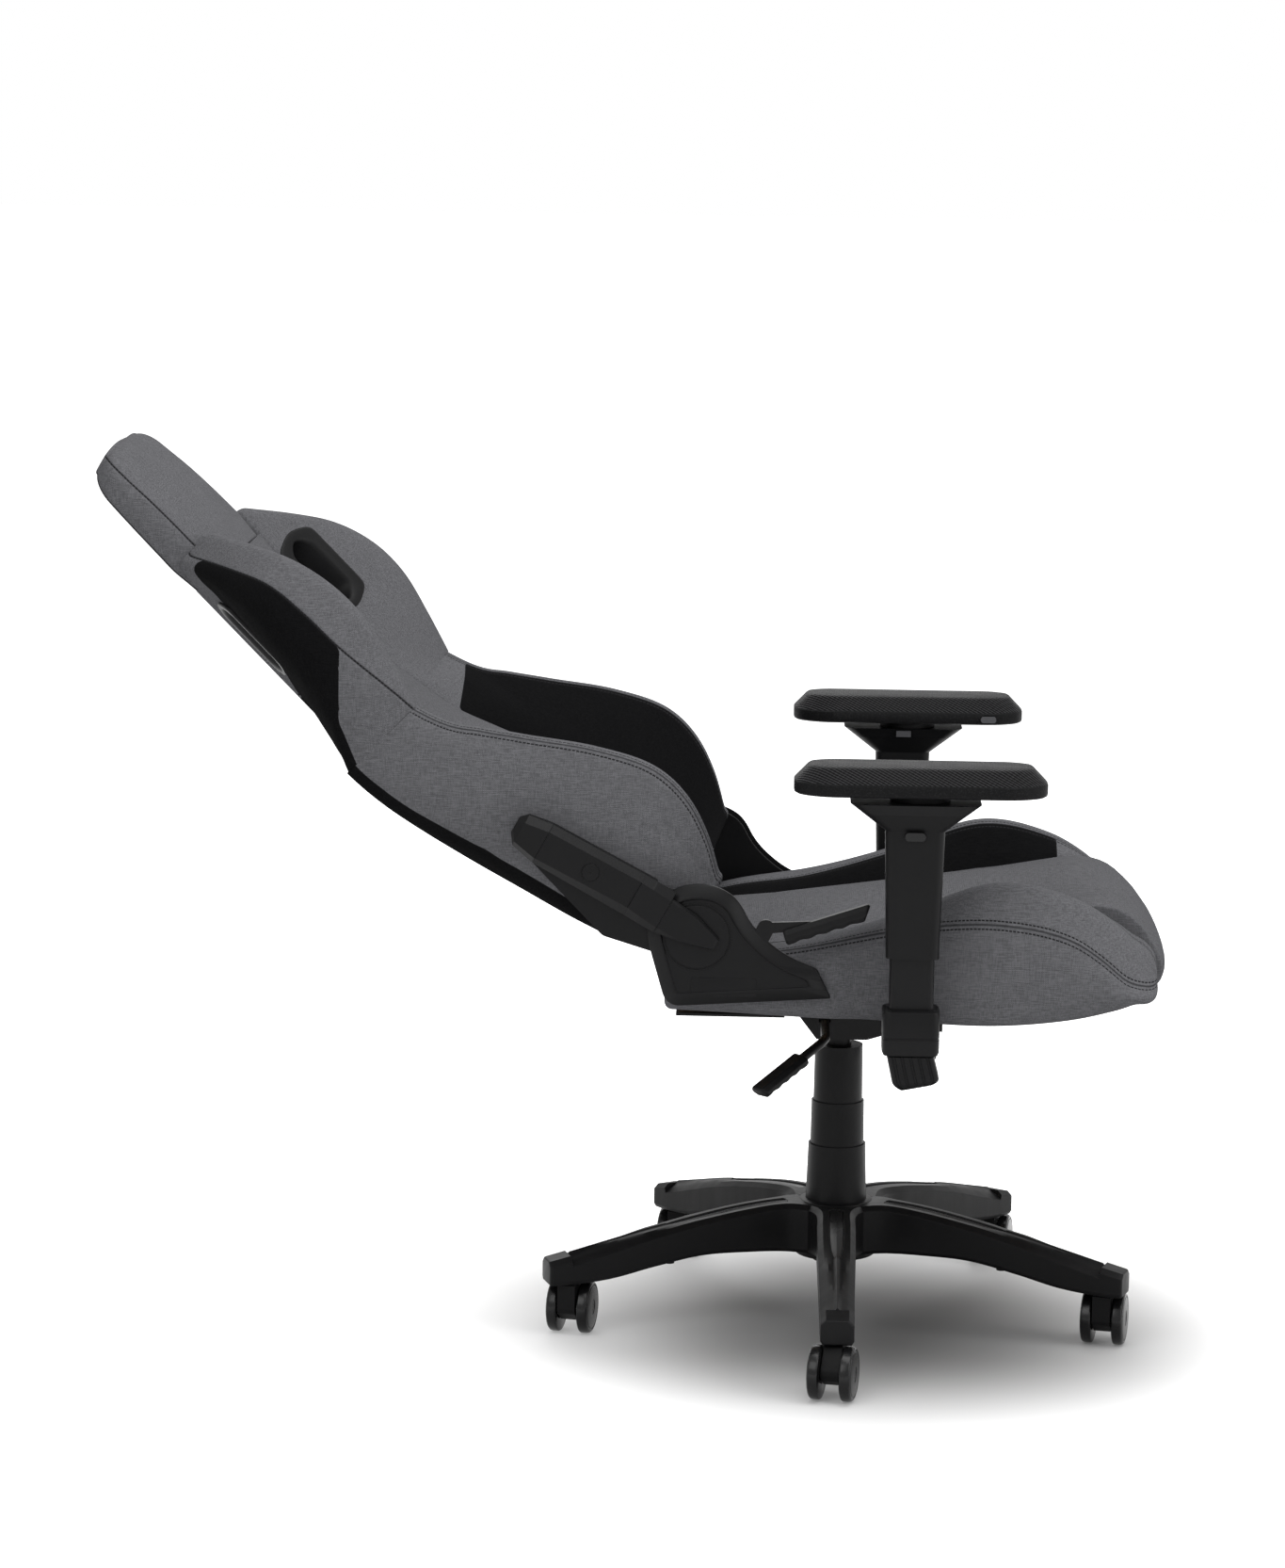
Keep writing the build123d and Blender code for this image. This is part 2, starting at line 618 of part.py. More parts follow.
def build_mechanism():
    half = HOUSING_W / 2
    slope = tan(radians(TILT_MAX_DEG + 1.0))
    rear_top = PLATE_BOTTOM - SLIDE - (TILT_X - HOUSING_REAR) * slope
    floor_front = HOUSING_BOTTOM + HOUSING_STEP
    outline = [(HOUSING_REAR, rear_top), (HOUSING_REAR + HOUSING_HEEL, HOUSING_BOTTOM)]
    outline += [(GAS_R + HOUSING_FLAT, HOUSING_BOTTOM), (KNOB_X - KNOB_R, floor_front)]
    outline += [(HOUSING_FRONT, floor_front), (HOUSING_FRONT, PLATE_BOTTOM - HOUSING_NOSE)]
    outline += [(TILT_X, PLATE_BOTTOM - SLIDE)]
    tub = extrude(Plane.XZ * make_face(Polyline(*outline, close=True)), half, both=True)
    wall = HOUSING_WALL
    heel = HOUSING_REAR + HOUSING_HEEL + wall / 2
    inside = [(HOUSING_REAR + wall, PLATE_BOTTOM), (heel, HOUSING_BOTTOM + wall)]
    inside += [(GAS_R + HOUSING_FLAT - wall / 2, HOUSING_BOTTOM + wall)]
    inside += [(KNOB_X - KNOB_R, floor_front + wall)]
    inside += [(HOUSING_FRONT - wall, floor_front + wall), (HOUSING_FRONT - wall, PLATE_BOTTOM)]
    tub -= extrude(Plane.XZ * make_face(Polyline(*inside, close=True)), half - wall, both=True)
    boss_top = GAS_TOP - BOSS_DROP
    tub += Pos(0, 0, HOUSING_BOTTOM) * extrude(Circle(GAS_R + BOSS_WALL), boss_top - HOUSING_BOTTOM)
    tub -= Pos(0, 0, HOUSING_BOTTOM) * extrude(Circle(GAS_R + RUN), boss_top - HOUSING_BOTTOM)
    pin_y = half + TILT_PIN_END
    tub -= cylinder_between((TILT_X, -half, TILT_Z), (TILT_X, half, TILT_Z), TILT_PIN_R)
    lever_from = (LEVER_X, -half, LEVER_Z)
    lever_to = (LEVER_X, -half + wall, LEVER_Z)
    tub -= cylinder_between(lever_from, lever_to, LEVER_ROD_R + LEVER_PLAY)
    tub += lever_ears(half - wall)
    slot = SlotCenterToCenter(BOLT_SLOT, 2 * (KNOB_BOLT_R + BOLT_PLAY))
    tub -= Pos(KNOB_X + BOLT_SLOT / 4, 0, floor_front) * extrude(slot, wall)
    keep("mechanism_housing", tub)
    keep("tilt_pin", cylinder_between((TILT_X, -pin_y, TILT_Z), (TILT_X, pin_y, TILT_Z), TILT_PIN_R))

    length = PLATE_X[1] - PLATE_X[0]
    centre = (PLATE_X[0] + PLATE_X[1]) / 2
    plate = rounded_bar(centre, 0, length, PLATE_W, PLATE_BOTTOM, PLATE_T, PLATE_CORNER)
    hole_x = PLATE_X[0] + PLATE_RIM + PLATE_HOLE / 2
    plate -= rounded_bar(hole_x, 0, PLATE_HOLE, PLATE_HOLE, PLATE_BOTTOM, PLATE_T, PLATE_CORNER - 2)
    ear = [(TILT_X - EAR_R, PLATE_BOTTOM + 1), (TILT_X - EAR_R, TILT_Z), (TILT_X, TILT_Z - EAR_R)]
    ear += [(TILT_X + EAR_R, TILT_Z), (TILT_X + EAR_R, PLATE_BOTTOM + 1)]
    ear_face = profile(ear, [0, 6, 8, 6, 0])
    ear_y = half - wall - SLIDE - EAR_T
    right_ear = side_plate(ear_face, ear_y, EAR_T)
    plate += right_ear
    plate += mirror(right_ear, about=Plane.XZ)
    plate -= cylinder_between((TILT_X, -half, TILT_Z), (TILT_X, half, TILT_Z), TILT_PIN_R + RUN)
    plate -= Pos(KNOB_X, 0, PLATE_BOTTOM) * extrude(Circle(KNOB_BOLT_R + RUN), PLATE_T)
    for x, y in seat_bolt_places():
        plate -= Pos(x, y, PLATE_BOTTOM) * extrude(Circle(SEAT_BOLT_R + RUN), PLATE_T)
    keep("mechanism_plate", plate)

    buffer_z = KNOB_TOP + SLIDE
    keep("tilt_buffer", Pos(KNOB_X, 0, 0) * ring(BUFFER_R, KNOB_BOLT_R + 2 * BOLT_PLAY, buffer_z, BUFFER_H))
    knob_z = KNOB_TOP - KNOB_H
    knob = Pos(KNOB_X, 0, knob_z) * extrude(Circle(KNOB_R), KNOB_H)
    knob = chamfer(knob.faces().sort_by(Axis.Z)[0].edges(), 3.0)
    for k in range(KNOB_FLUTES):
        turn = Rot(0, 0, 360 * k / KNOB_FLUTES)
        flute = extrude(Circle(3.0), KNOB_H)
        knob -= Pos(KNOB_X, 0, knob_z) * turn * Pos(KNOB_R + 1, 0, 0) * flute
    knob += Pos(KNOB_X, 0, KNOB_TOP) * extrude(Circle(KNOB_BOLT_R), PAN_BOTTOM - SLIDE - KNOB_TOP)
    keep("tension_knob", knob)

    start = Vector(LEVER_X, -LEVER_PIVOT_Y + 10, LEVER_Z)
    bend = Vector(LEVER_X, -LEVER_BEND_Y, LEVER_Z)
    end = Vector(LEVER_END[0], -LEVER_END[1], LEVER_END[2])
    along = (end - bend).normalized()
    grip = end - along * LEVER_GRIP_LENGTH
    inner_end = grip + along * LEVER_GRIP_BORE
    path = FilletPolyline(start, bend, inner_end, radius=LEVER_BEND_R)
    rod = sweep(Plane(start, z_dir=(0, -1, 0)) * Circle(LEVER_ROD_R), path)
    tongue_z = GAS_BUTTON_TOP + SLIDE
    tongue_from = (LEVER_X - LEVER_ROD_R, start.Y - 4, LEVER_Z)
    rod += box_between(tongue_from, (LEVER_X + LEVER_ROD_R, start.Y + 4, tongue_z + LEVER_TONGUE_T))
    rod += lever_pin(LEVER_PIN_R)
    rod += box_between(
        (LEVER_X - LEVER_ROD_R, start.Y - 4, tongue_z),
        (BUTTON_R + 3, BUTTON_R + 3, tongue_z + LEVER_TONGUE_T),
    )
    keep("lift_lever", rod)

    plane = Plane(grip, x_dir=Vector(0, 0, 1).cross(along), z_dir=along)
    shell = extrude(plane * RectangleRounded(LEVER_GRIP_W, LEVER_GRIP_T, 5), LEVER_GRIP_LENGTH)
    keep("lift_lever_grip", shell - cylinder_between(grip, inner_end, LEVER_ROD_R))


def lever_pin(radius):
    """Pin on which the lift lever rocks, across its rod."""
    left = (LEVER_X - LEVER_PIN_HALF, -LEVER_PIVOT_Y, LEVER_Z)
    right = (LEVER_X + LEVER_PIN_HALF, -LEVER_PIVOT_Y, LEVER_Z)
    return cylinder_between(left, right, radius)


def lever_ears(wall_y):
    """Two ears inside the housing's wall that carry the lift lever's pin."""
    ears = Part()
    inner = LEVER_ROD_R + LEVER_EAR_GAP
    for side in (-1, 1):
        xs = sorted((LEVER_X + side * inner, LEVER_X + side * LEVER_PIN_HALF))
        low = (xs[0], -wall_y - HOUSING_WALL / 2, LEVER_Z - LEVER_EAR_R)
        high = (xs[1], -LEVER_PIVOT_Y + LEVER_EAR_R, LEVER_Z + LEVER_EAR_R)
        ears += box_between(low, high)
    return ears - lever_pin(LEVER_PIN_R + RUN)


def seat_bolt_places():
    """Bolts from the plate up into the pan, near the plate's corners."""
    inset = PLATE_RIM
    xs = (PLATE_X[0] + inset, PLATE_X[1] - inset)
    ys = (-PLATE_W / 2 + inset, PLATE_W / 2 - inset)
    return [(x, y) for x in xs for y in ys]


# Seat


def seat_cushion():
    """Centre cushion: fore-and-aft profiles lofted across the seat, with a crown and drawn-in sides."""
    faces = []
    half = PAN_HALF_W
    for share in (-1.0, -0.6, 0.0, 0.6, 1.0):
        drop = SEAT_CROWN * share * share
        draw = SEAT_SIDE_DRAW * share ** 4
        points = [
            (SEAT_REAR, SEAT_LIP_BOTTOM),
            (SEAT_REAR + draw, SEAT_REAR_TOP - drop),
            (SEAT_MID_X, SEAT_MID_TOP - drop),
            (SEAT_CREST_X + 12, SEAT_CREST_TOP + 6 - drop),
            (SEAT_FRONT - draw, (SEAT_CREST_TOP + SEAT_LIP_BOTTOM) / 2 - 14),
            (SEAT_FRONT - draw - 16, SEAT_LIP_BOTTOM),
        ]
        faces.append(Plane.XZ.offset(-share * half) * profile(points, [6, 24, 400, 46, 40, 12]))
    cushion = loft(faces)
    pocket_from = (SEAT_REAR - 10, -half - 10, SEAT_LIP_BOTTOM - 20)
    pocket_to = (PAN_FRONT + SEAT_GAP, half + 10, PAN_TOP + SEAT_GAP)
    return cushion - box_between(pocket_from, pocket_to)


def seat_bolster():
    """Right-hand bolster: cross-sections lofted from the rear to the front."""
    faces = []
    inner = PAN_HALF_W + SOFT_GAP
    for x, crest, crest_y, inner_z in BOLSTER_STATIONS:
        plane = Plane((x, 0, 0), x_dir=(0, -1, 0), z_dir=(-1, 0, 0))
        belly = (BOLSTER_BOTTOM + crest) / 2
        points = [(inner, BOLSTER_BOTTOM), (SEAT_HALF_W - 10, BOLSTER_BOTTOM)]
        points += [(SEAT_HALF_W, belly), (crest_y + 16, crest), (crest_y - 16, crest), (inner, inner_z)]
        faces.append(plane * profile(points, [3, 8, 14, 9, 9, 4]))
    return loft(faces)


def build_seat():
    pan = box_between((PAN_REAR, -PAN_HALF_W, PAN_BOTTOM), (PAN_FRONT, PAN_HALF_W, PAN_TOP))
    bolts = []
    for x, y in seat_bolt_places():
        pan -= Pos(x, y, PAN_BOTTOM) * extrude(Circle(SEAT_BOLT_R + RUN), PAN_T)
        shank = Pos(x, y, PLATE_BOTTOM) * extrude(Circle(SEAT_BOLT_R), PLATE_T + PAN_T)
        head_z = PLATE_BOTTOM - SEAT_BOLT_HEAD_H
        bolts.append(shank + Pos(x, y, head_z) * extrude(Circle(SEAT_BOLT_HEAD_R), SEAT_BOLT_HEAD_H))
    keep("seat_pan", pan)
    keep("seat_bolts", Compound(children=bolts))
    keep("seat_cushion", seat_cushion())
    keep("seat_bolsters", both_sides(seat_bolster()))


# Recline hinge


def hull_of(circles):
    """Convex face round circles given as x, z and radius."""
    edges = []
    for x, z, radius in circles:
        edges += (Pos(x, z) * Circle(radius)).edges()
    return make_hull(edges)


def cover_outline():
    """Seat-side cover: a disc over the pivot that sweeps down and forward to a tapered foot."""
    disc = Pos(PIVOT_X, PIVOT_Z) * Circle(COVER_RIM_R)
    points = [(PIVOT_X + x, PIVOT_Z + z) for x, z in COVER_EDGE]
    return disc + profile(points, [0, 10, 8, 14, 40, 40, 0])


def recline_sweep():
    """Outline that the lever's tab passes through, from its rest to its lifted place."""
    circles = []
    for turn in (0.0, RECLINE_LIFT_DEG / 2, RECLINE_LIFT_DEG):
        dx = RECLINE_ELBOW[0] - RECLINE_PIN_X
        dz = RECLINE_ELBOW[1] - RECLINE_PIN_Z
        angle = atan2(dz, dx) + radians(turn)
        reach = hypot(dx, dz) + RECLINE_TAB_W
        place = (RECLINE_PIN_X + reach * cos(angle), RECLINE_PIN_Z + reach * sin(angle))
        circles.append((*place, RECLINE_TAB_W / 2 + 2.5))
    return hull_of([(RECLINE_PIN_X, RECLINE_PIN_Z, RECLINE_TAB_W / 2 + 2.5)] + circles)


def build_hinge():
    plate_low = PAN_BOTTOM - FLANGE_T
    plate_rear = PIVOT_X - HINGE_DISC_R
    plate_front = PIVOT_X + HINGE_FOOT_L
    points = [(plate_rear, PIVOT_Z + HINGE_DISC_R), (plate_rear, plate_low), (plate_front, plate_low)]
    points += [(plate_front, PAN_BOTTOM + HINGE_FOOT_H)]
    points += [(RECLINE_PIN_X + 4 * RECLINE_PIN_R, RECLINE_PIN_Z + 4 * RECLINE_PIN_R)]
    points += [(PIVOT_X + HINGE_DISC_R, PIVOT_Z + HINGE_DISC_R)]
    disc_corner = HINGE_DISC_R - 2.0
    outline = profile(points, [disc_corner, 8, 8, 8, 12, disc_corner])
    plate = side_plate(outline, HINGE_PLATE_Y, HINGE_PLATE_T)
    flange_from = (plate_rear + HINGE_DISC_R / 2, -HINGE_PLATE_Y - HINGE_PLATE_T / 2, plate_low)
    flange_to = (plate_front - HINGE_DISC_R / 2, -FLANGE_INNER_Y, PAN_BOTTOM)
    plate += box_between(flange_from, flange_to)
    plate_out = HINGE_PLATE_Y + HINGE_PLATE_T
    stud_end = COVER_Y + COVER_T / 2
    plate += side_plate(Pos(PIVOT_X, PIVOT_Z) * Circle(STUD_R), plate_out, stud_end - plate_out)
    pin_end = COVER_Y + COVER_T - 3.0
    pin = Pos(RECLINE_PIN_X, RECLINE_PIN_Z) * Circle(RECLINE_PIN_R)
    plate += side_plate(pin, plate_out, pin_end - plate_out)
    keep("hinge_seat_plates", both_sides(plate))

    cover = side_plate(cover_outline(), COVER_Y, COVER_T)
    cover -= side_plate(Pos(PIVOT_X, PIVOT_Z) * Circle(STUD_R + RUN), COVER_Y, COVER_T / 2)
    pocket_depth = COVER_T - 3.0
    cover -= side_plate(recline_sweep(), COVER_Y, pocket_depth)
    for x, z in COVER_BOSSES:
        boss = Pos(PIVOT_X + x, PIVOT_Z + z) * Circle(COVER_BOSS_R)
        cover += side_plate(boss, plate_out, COVER_Y - plate_out)
    left_cover = mirror(cover, about=Plane.XZ)
    keep("hinge_covers", Compound(children=[cover, left_cover]))

    tab_y = COVER_Y + SLIDE + 1.0
    tab_face = hull_of([
        (RECLINE_PIN_X, RECLINE_PIN_Z, RECLINE_TAB_W / 2),
        (RECLINE_ELBOW[0], RECLINE_ELBOW[1], RECLINE_TAB_W / 2),
    ])
    grip_dx = RECLINE_GRIP_END[0] - RECLINE_GRIP_START[0]
    grip_dz = RECLINE_GRIP_END[1] - RECLINE_GRIP_START[1]
    core = (RECLINE_GRIP_START[0] + 0.5 * grip_dx, RECLINE_GRIP_START[1] + 0.5 * grip_dz)
    tab_face += hull_of([
        (RECLINE_ELBOW[0], RECLINE_ELBOW[1], RECLINE_TAB_W / 2 - 3),
        (*core, 4.0),
    ])
    tab = side_plate(tab_face, tab_y, RECLINE_TAB_T)
    tab -= side_plate(Pos(RECLINE_PIN_X, RECLINE_PIN_Z) * Circle(RECLINE_PIN_R + RUN), tab_y, RECLINE_TAB_T)
    keep("recline_lever", tab)

    half = RECLINE_GRIP_H / 2
    grip_angle = degrees(atan2(grip_dz, grip_dx))
    length = hypot(grip_dx, grip_dz)
    outline = [(0, -half + 2), (12, -half), (length - 10, -half), (length, half), (6, half)]
    grip_face = Pos(*RECLINE_GRIP_START) * Rot(0, 0, grip_angle) * profile(outline, [2, 6, 4, 4, 4])
    grip_y = tab_y + RECLINE_TAB_T / 2 - RECLINE_GRIP_W / 2
    grip = side_plate(grip_face, grip_y, RECLINE_GRIP_W)
    grip = chamfer(grip.faces().sort_by(Axis.Y)[0].edges(), 2.0)
    keep("recline_lever_grip", grip - side_plate(tab_face, tab_y, RECLINE_TAB_T))

    blade_y = ARM_BLADE_Y
    arm_face = arm_cover_face()
    arm = side_plate(arm_face, blade_y, ARM_COVER_T)
    body_y = BACK_PLATE_Y + HINGE_PLATE_T + SLIDE
    thick = side_plate(arm_face, body_y, blade_y + 1.0 - body_y)
    thick -= side_plate(Pos(PIVOT_X, PIVOT_Z) * Circle(ARM_COVER_CLEAR_R), body_y, blade_y - body_y)
    arm += thick
    keep("hinge_arm_covers", both_sides(arm))


def arm_cover_face():
    """Arrow-shaped arm cover, pointing at the pivot along the lower back."""
    tip = 24.0
    half = ARM_COVER_HALF_W
    length = ARM_COVER_LENGTH
    points = [(-tip, 8), (-tip, -8), (34, -half), (length - 8, -half)]
    points += [(length, half - 12), (length - 14, half), (48, half)]
    turn = 180.0 - BACK_LOW_DEG
    shape = profile(points, [3, 3, 10, 5, 5, 5, 12])
    return Pos(PIVOT_X, PIVOT_Z) * Rot(0, 0, turn) * shape


# Backrest


def frame_tube(side):
    """Upright of the back frame on one side, bent with the spine."""
    edges = band_edges(FRAME_LEVEL, FRAME_CROSS_S, FRAME_TOP_S)
    path = Plane.XZ.offset(side * FRAME_HALF_W) * Wire(edges)
    start = path @ 0
    section = Circle(FRAME_TUBE_R) - Circle(FRAME_TUBE_R - FRAME_TUBE_WALL)
    return sweep(Plane(start, z_dir=path % 0) * section, path)


def cross_tube(s, half):
    """Straight tube across the back at distance s."""
    x, z = on_back(s, FRAME_LEVEL)
    return cylinder_between((x, -half, z), (x, half, z), FRAME_TUBE_R)


def back_frame():
    """Welded frame: two uprights, a top and a foot tube, and the hinge plates at the foot tube's ends."""
    body = frame_tube(1) + frame_tube(-1) + cross_tube(FRAME_TOP_S, FRAME_HALF_W)
    body += cross_tube(FRAME_CROSS_S, BACK_PLATE_Y + 1.0)
    along = radians(180.0 - BACK_LOW_DEG)
    foot = on_back(FRAME_CROSS_S, FRAME_LEVEL)
    far = ARM_COVER_LENGTH - 40.0
    arm = hull_of([
        (PIVOT_X, PIVOT_Z, HINGE_DISC_R - 4),
        (PIVOT_X + far * cos(along), PIVOT_Z + far * sin(along), ARM_COVER_HALF_W - 6),
        (*foot, FRAME_TUBE_R + 4),
    ])
    arm -= Pos(PIVOT_X, PIVOT_Z) * Circle(STUD_R + RUN)
    plate = side_plate(arm, BACK_PLATE_Y, HINGE_PLATE_T)
    return body + plate + mirror(plate, about=Plane.XZ)


def rear_panel():
    """Rear panel: a shallow tray that follows the spine and holds the frame, wider at the head."""
    tray = band(0.0, PANEL_DEPTH, BACK_START, HEAD_WIDE_START + 1.0, CENTRE_HALF_W)
    tray += head_block(0.0, PANEL_DEPTH, HEAD_HALF_W, BACK_LENGTH)
    room = PANEL_WALL
    end = BACK_LENGTH - HEAD_CORNER_R
    tray -= band(room, PANEL_DEPTH + 1.0, BACK_START + room, end, CENTRE_HALF_W - room)
    x, z = on_back(FRAME_CROSS_S, FRAME_LEVEL)
    wide = CENTRE_HALF_W + 10.0
    tray -= cylinder_between((x, -wide, z), (x, wide, z), FRAME_TUBE_R + SEAT_GAP)
    return tray


def head_block(b_low, b_high, half_w, end):
    """Head end between two heights, its top corners rounded."""
    length = end - HEAD_WIDE_START
    middle = back_plane(HEAD_WIDE_START)
    corner = HEAD_CORNER_R
    points = [(-half_w, 0), (half_w, 0), (half_w, length), (-half_w, length)]
    face = profile(points, [8, 8, corner, corner])
    floor = Plane(middle.origin + middle.y_dir * b_low, x_dir=middle.x_dir, z_dir=-middle.y_dir)
    return extrude(floor * face, -(b_high - b_low))


def crowned_section(s, half_w, base, front, crown):
    """Cross-section of a pad: flat rear, rounded shoulders, crowned front."""
    wall = front - PAD_SHOULDER - base
    heel = 0.2 * wall
    shoulder = 0.5 * wall
    lean = 3.0
    points = [(-half_w, base), (half_w, base), (half_w - lean, front - PAD_SHOULDER)]
    points += [(0, front + crown), (lean - half_w, front - PAD_SHOULDER)]
    return back_plane(s) * profile(points, [heel, heel, shoulder, PAD_CROWN_R, shoulder])


def back_pad():
    """Centre pad: crowned cross-sections lofted up the back, with a lumbar swell."""
    faces = []
    base = PANEL_DEPTH + SEAT_GAP
    for s, front in PAD_STATIONS:
        faces.append(crowned_section(s, CENTRE_HALF_W, base, front - PAD_CROWN, PAD_CROWN))
    pad = loft(faces)
    bend_room = band(-60.0, base, BACK_START - 20.0, HEAD_START + 20.0, CENTRE_HALF_W + 20.0)
    return pad - bend_room


def headrest_pad():
    """Headrest end: crowned sections that fall away towards the top."""
    base = PANEL_DEPTH + SEAT_GAP
    rows = [
        (HEAD_START, CENTRE_HALF_W, HEAD_FRONT - 3),
        (HEAD_WIDE_START + 8, HEAD_HALF_W - 4, HEAD_FRONT),
        ((HEAD_WIDE_START + BACK_LENGTH) / 2, HEAD_HALF_W - 4, HEAD_FRONT - 4),
        (BACK_LENGTH - 22, HEAD_HALF_W - 16, HEAD_TOP_FRONT),
        (BACK_LENGTH + 6, HEAD_HALF_W - HEAD_CORNER_R, HEAD_TOP_FRONT - 6),
    ]
    faces = []
    for s, half_w, front in rows:
        faces.append(crowned_section(s, half_w, base, front - PAD_CROWN / 2, PAD_CROWN / 2))
    room_w = HEAD_HALF_W
    room_l = 2 * (HEAD_WIDE_START - HEAD_START)
    beside = Box(room_w, 4 * HEAD_FRONT, room_l)
    place = back_plane(HEAD_WIDE_START) * Pos(CENTRE_HALF_W + room_w / 2, 0, -room_l / 2)
    beside = both_sides(place * beside)
    return loft(faces) - beside


def lumbar_bolster():
    """Right-hand lumbar bolster: deep ridged sections lofted up the lower back."""
    faces = []
    inner = CENTRE_HALF_W + SOFT_GAP
    for s, rear, crest, crest_w, outer, inner_b in LUMBAR_STATIONS:
        belly = rear + 0.55 * (crest - rear)
        points = [(inner, rear), (outer - 6, rear), (outer, belly)]
        points += [(crest_w + 9, crest), (crest_w - 16, crest), (inner, inner_b)]
        faces.append(back_plane(s) * profile(points, [3, 6, 14, 8, 8, 4]))
    bolster = loft(faces)
    x, z = on_back(FRAME_CROSS_S, FRAME_LEVEL)
    tube = cylinder_between((x, -SEAT_HALF_W - 20, z), (x, -CENTRE_HALF_W, z), FRAME_TUBE_R + SEAT_GAP)
    return bolster - tube


def slot_face(grow):
    """Strap slot outline on the back: a long hexagon, grown all round by an amount."""
    half_l = SLOT_LENGTH / 2 + grow
    half_w = SLOT_W / 2 + grow
    point = SLOT_POINT
    points = [(-half_w, -half_l + point), (0, -half_l), (half_w, -half_l + point)]
    points += [(half_w, half_l - point), (0, half_l), (-half_w, half_l - point)]
    return make_face(Polyline(*points, close=True))


def slot_prism(grow, low, high):
    """Right-hand strap slot as a solid between two heights above the spine."""
    across = back_plane(SLOT_S)
    right = SLOT_INNER + SLOT_W / 2
    origin = across.origin + across.x_dir * right + across.y_dir * low
    plane = Plane(origin, x_dir=across.x_dir, z_dir=-across.y_dir)
    return extrude(plane * slot_face(grow), -(high - low))


def shoulder_wing():
    """Right-hand shoulder wing: forward-swept sections lofted up to the head, pierced by the strap slot."""
    faces = []
    inner = CENTRE_HALF_W + SOFT_GAP
    for s, rear_in, rear_out, crest, crest_w, outer, seam, inner_b in WING_STATIONS:
        points = [(inner, rear_in), (outer - 8, rear_out), (outer, seam)]
        points += [(crest_w + 5, crest), (crest_w - 12, crest - 2), (inner, inner_b)]
        faces.append(back_plane(s) * profile(points, [2, 6, 8, 6, 6, 3]))
    return loft(faces) - slot_prism(0.0, -40.0, 180.0)


def slot_bezel():
    """Right-hand bezel that lines the strap slot."""
    outer = slot_prism(-SEAT_GAP, BEZEL_LOW, BEZEL_HIGH)
    return outer - slot_prism(-BEZEL_WALL, BEZEL_LOW, BEZEL_HIGH)


def build_back():
    keep("back_frame", back_frame())
    keep("back_rear_panel", rear_panel())
    keep("back_pad", back_pad())
    keep("headrest_pad", headrest_pad())
    keep("lumbar_bolsters", both_sides(lumbar_bolster()))
    keep("shoulder_wings", both_sides(shoulder_wing()))
    keep("slot_bezels", both_sides(slot_bezel()))


# Armrests, drawn on the right and mirrored


def arm_bar():
    """Steel bar from inside the inner tube, round a bend, in under the seat pan."""
    level = PAN_BOTTOM - BAR_T / 2
    path = FilletPolyline(
        (ARM_X, -ARM_Y, COLLAR_FOOT_Z + COLLAR_H),
        (ARM_X, -ARM_Y, BAR_LOW_Z),
        (ARM_X, -BAR_RISE_Y, level),
        (ARM_X, -BAR_INNER_Y, level),
        radius=[12, 40],
    )
    section = Plane(path @ 0, x_dir=(1, 0, 0), z_dir=path % 0) * Rectangle(BAR_W, BAR_T)
    return sweep(section, path)


def arm_foot():
    """Ribbed foot that covers the bend of the bar."""
    top = COLLAR_FOOT_Z - SLIDE
    low = top - ARM_FOOT_H
    body = tapered_bar([
        (ARM_X, -ARM_Y, low, ARM_FOOT_L - 6, POST_FOOT_W - 6, 8),
        (ARM_X, -ARM_Y, low + ARM_FOOT_H / 3, ARM_FOOT_L - 1, POST_FOOT_W, 8),
        (ARM_X, -ARM_Y, top, ARM_FOOT_L, POST_FOOT_W, 8),
    ])
    return body - arm_bar_room()


def arm_bar_room():
    """Room for the bar inside the foot: the bar's own path, a little larger."""
    level = PAN_BOTTOM - BAR_T / 2
    path = FilletPolyline(
        (ARM_X, -ARM_Y, COLLAR_FOOT_Z + COLLAR_H),
        (ARM_X, -ARM_Y, BAR_LOW_Z),
        (ARM_X, -BAR_RISE_Y, level),
        radius=[12],
    )
    room = Rectangle(BAR_W + 2 * SLIDE, BAR_T + 2 * SLIDE)
    return sweep(Plane(path @ 0, x_dir=(1, 0, 0), z_dir=path % 0) * room, path)


def arm_collar():
    """Collar round the foot of the inner tube."""
    body = rounded_bar(ARM_X, -ARM_Y, COLLAR_L, COLLAR_W, COLLAR_FOOT_Z, COLLAR_H, 9)
    body = fillet(body.faces().sort_by(Axis.Z)[0].edges(), 5.0)
    bore_l = TUBE_L + 2 * RUN
    bore_w = TUBE_W + 2 * RUN
    return body - rounded_bar(ARM_X, -ARM_Y, bore_l, bore_w, COLLAR_FOOT_Z, COLLAR_H, 6)


def arm_inner_tube():
    """Fixed inner tube that the post slides on."""
    height = TUBE_TOP_Z - COLLAR_FOOT_Z
    body = rounded_bar(ARM_X, -ARM_Y, TUBE_L, TUBE_W, COLLAR_FOOT_Z, height, 6)
    inner_l = TUBE_L - 2 * TUBE_WALL
    inner_w = TUBE_W - 2 * TUBE_WALL
    return body - rounded_bar(ARM_X, -ARM_Y, inner_l, inner_w, COLLAR_FOOT_Z, height - TUBE_WALL, 3)


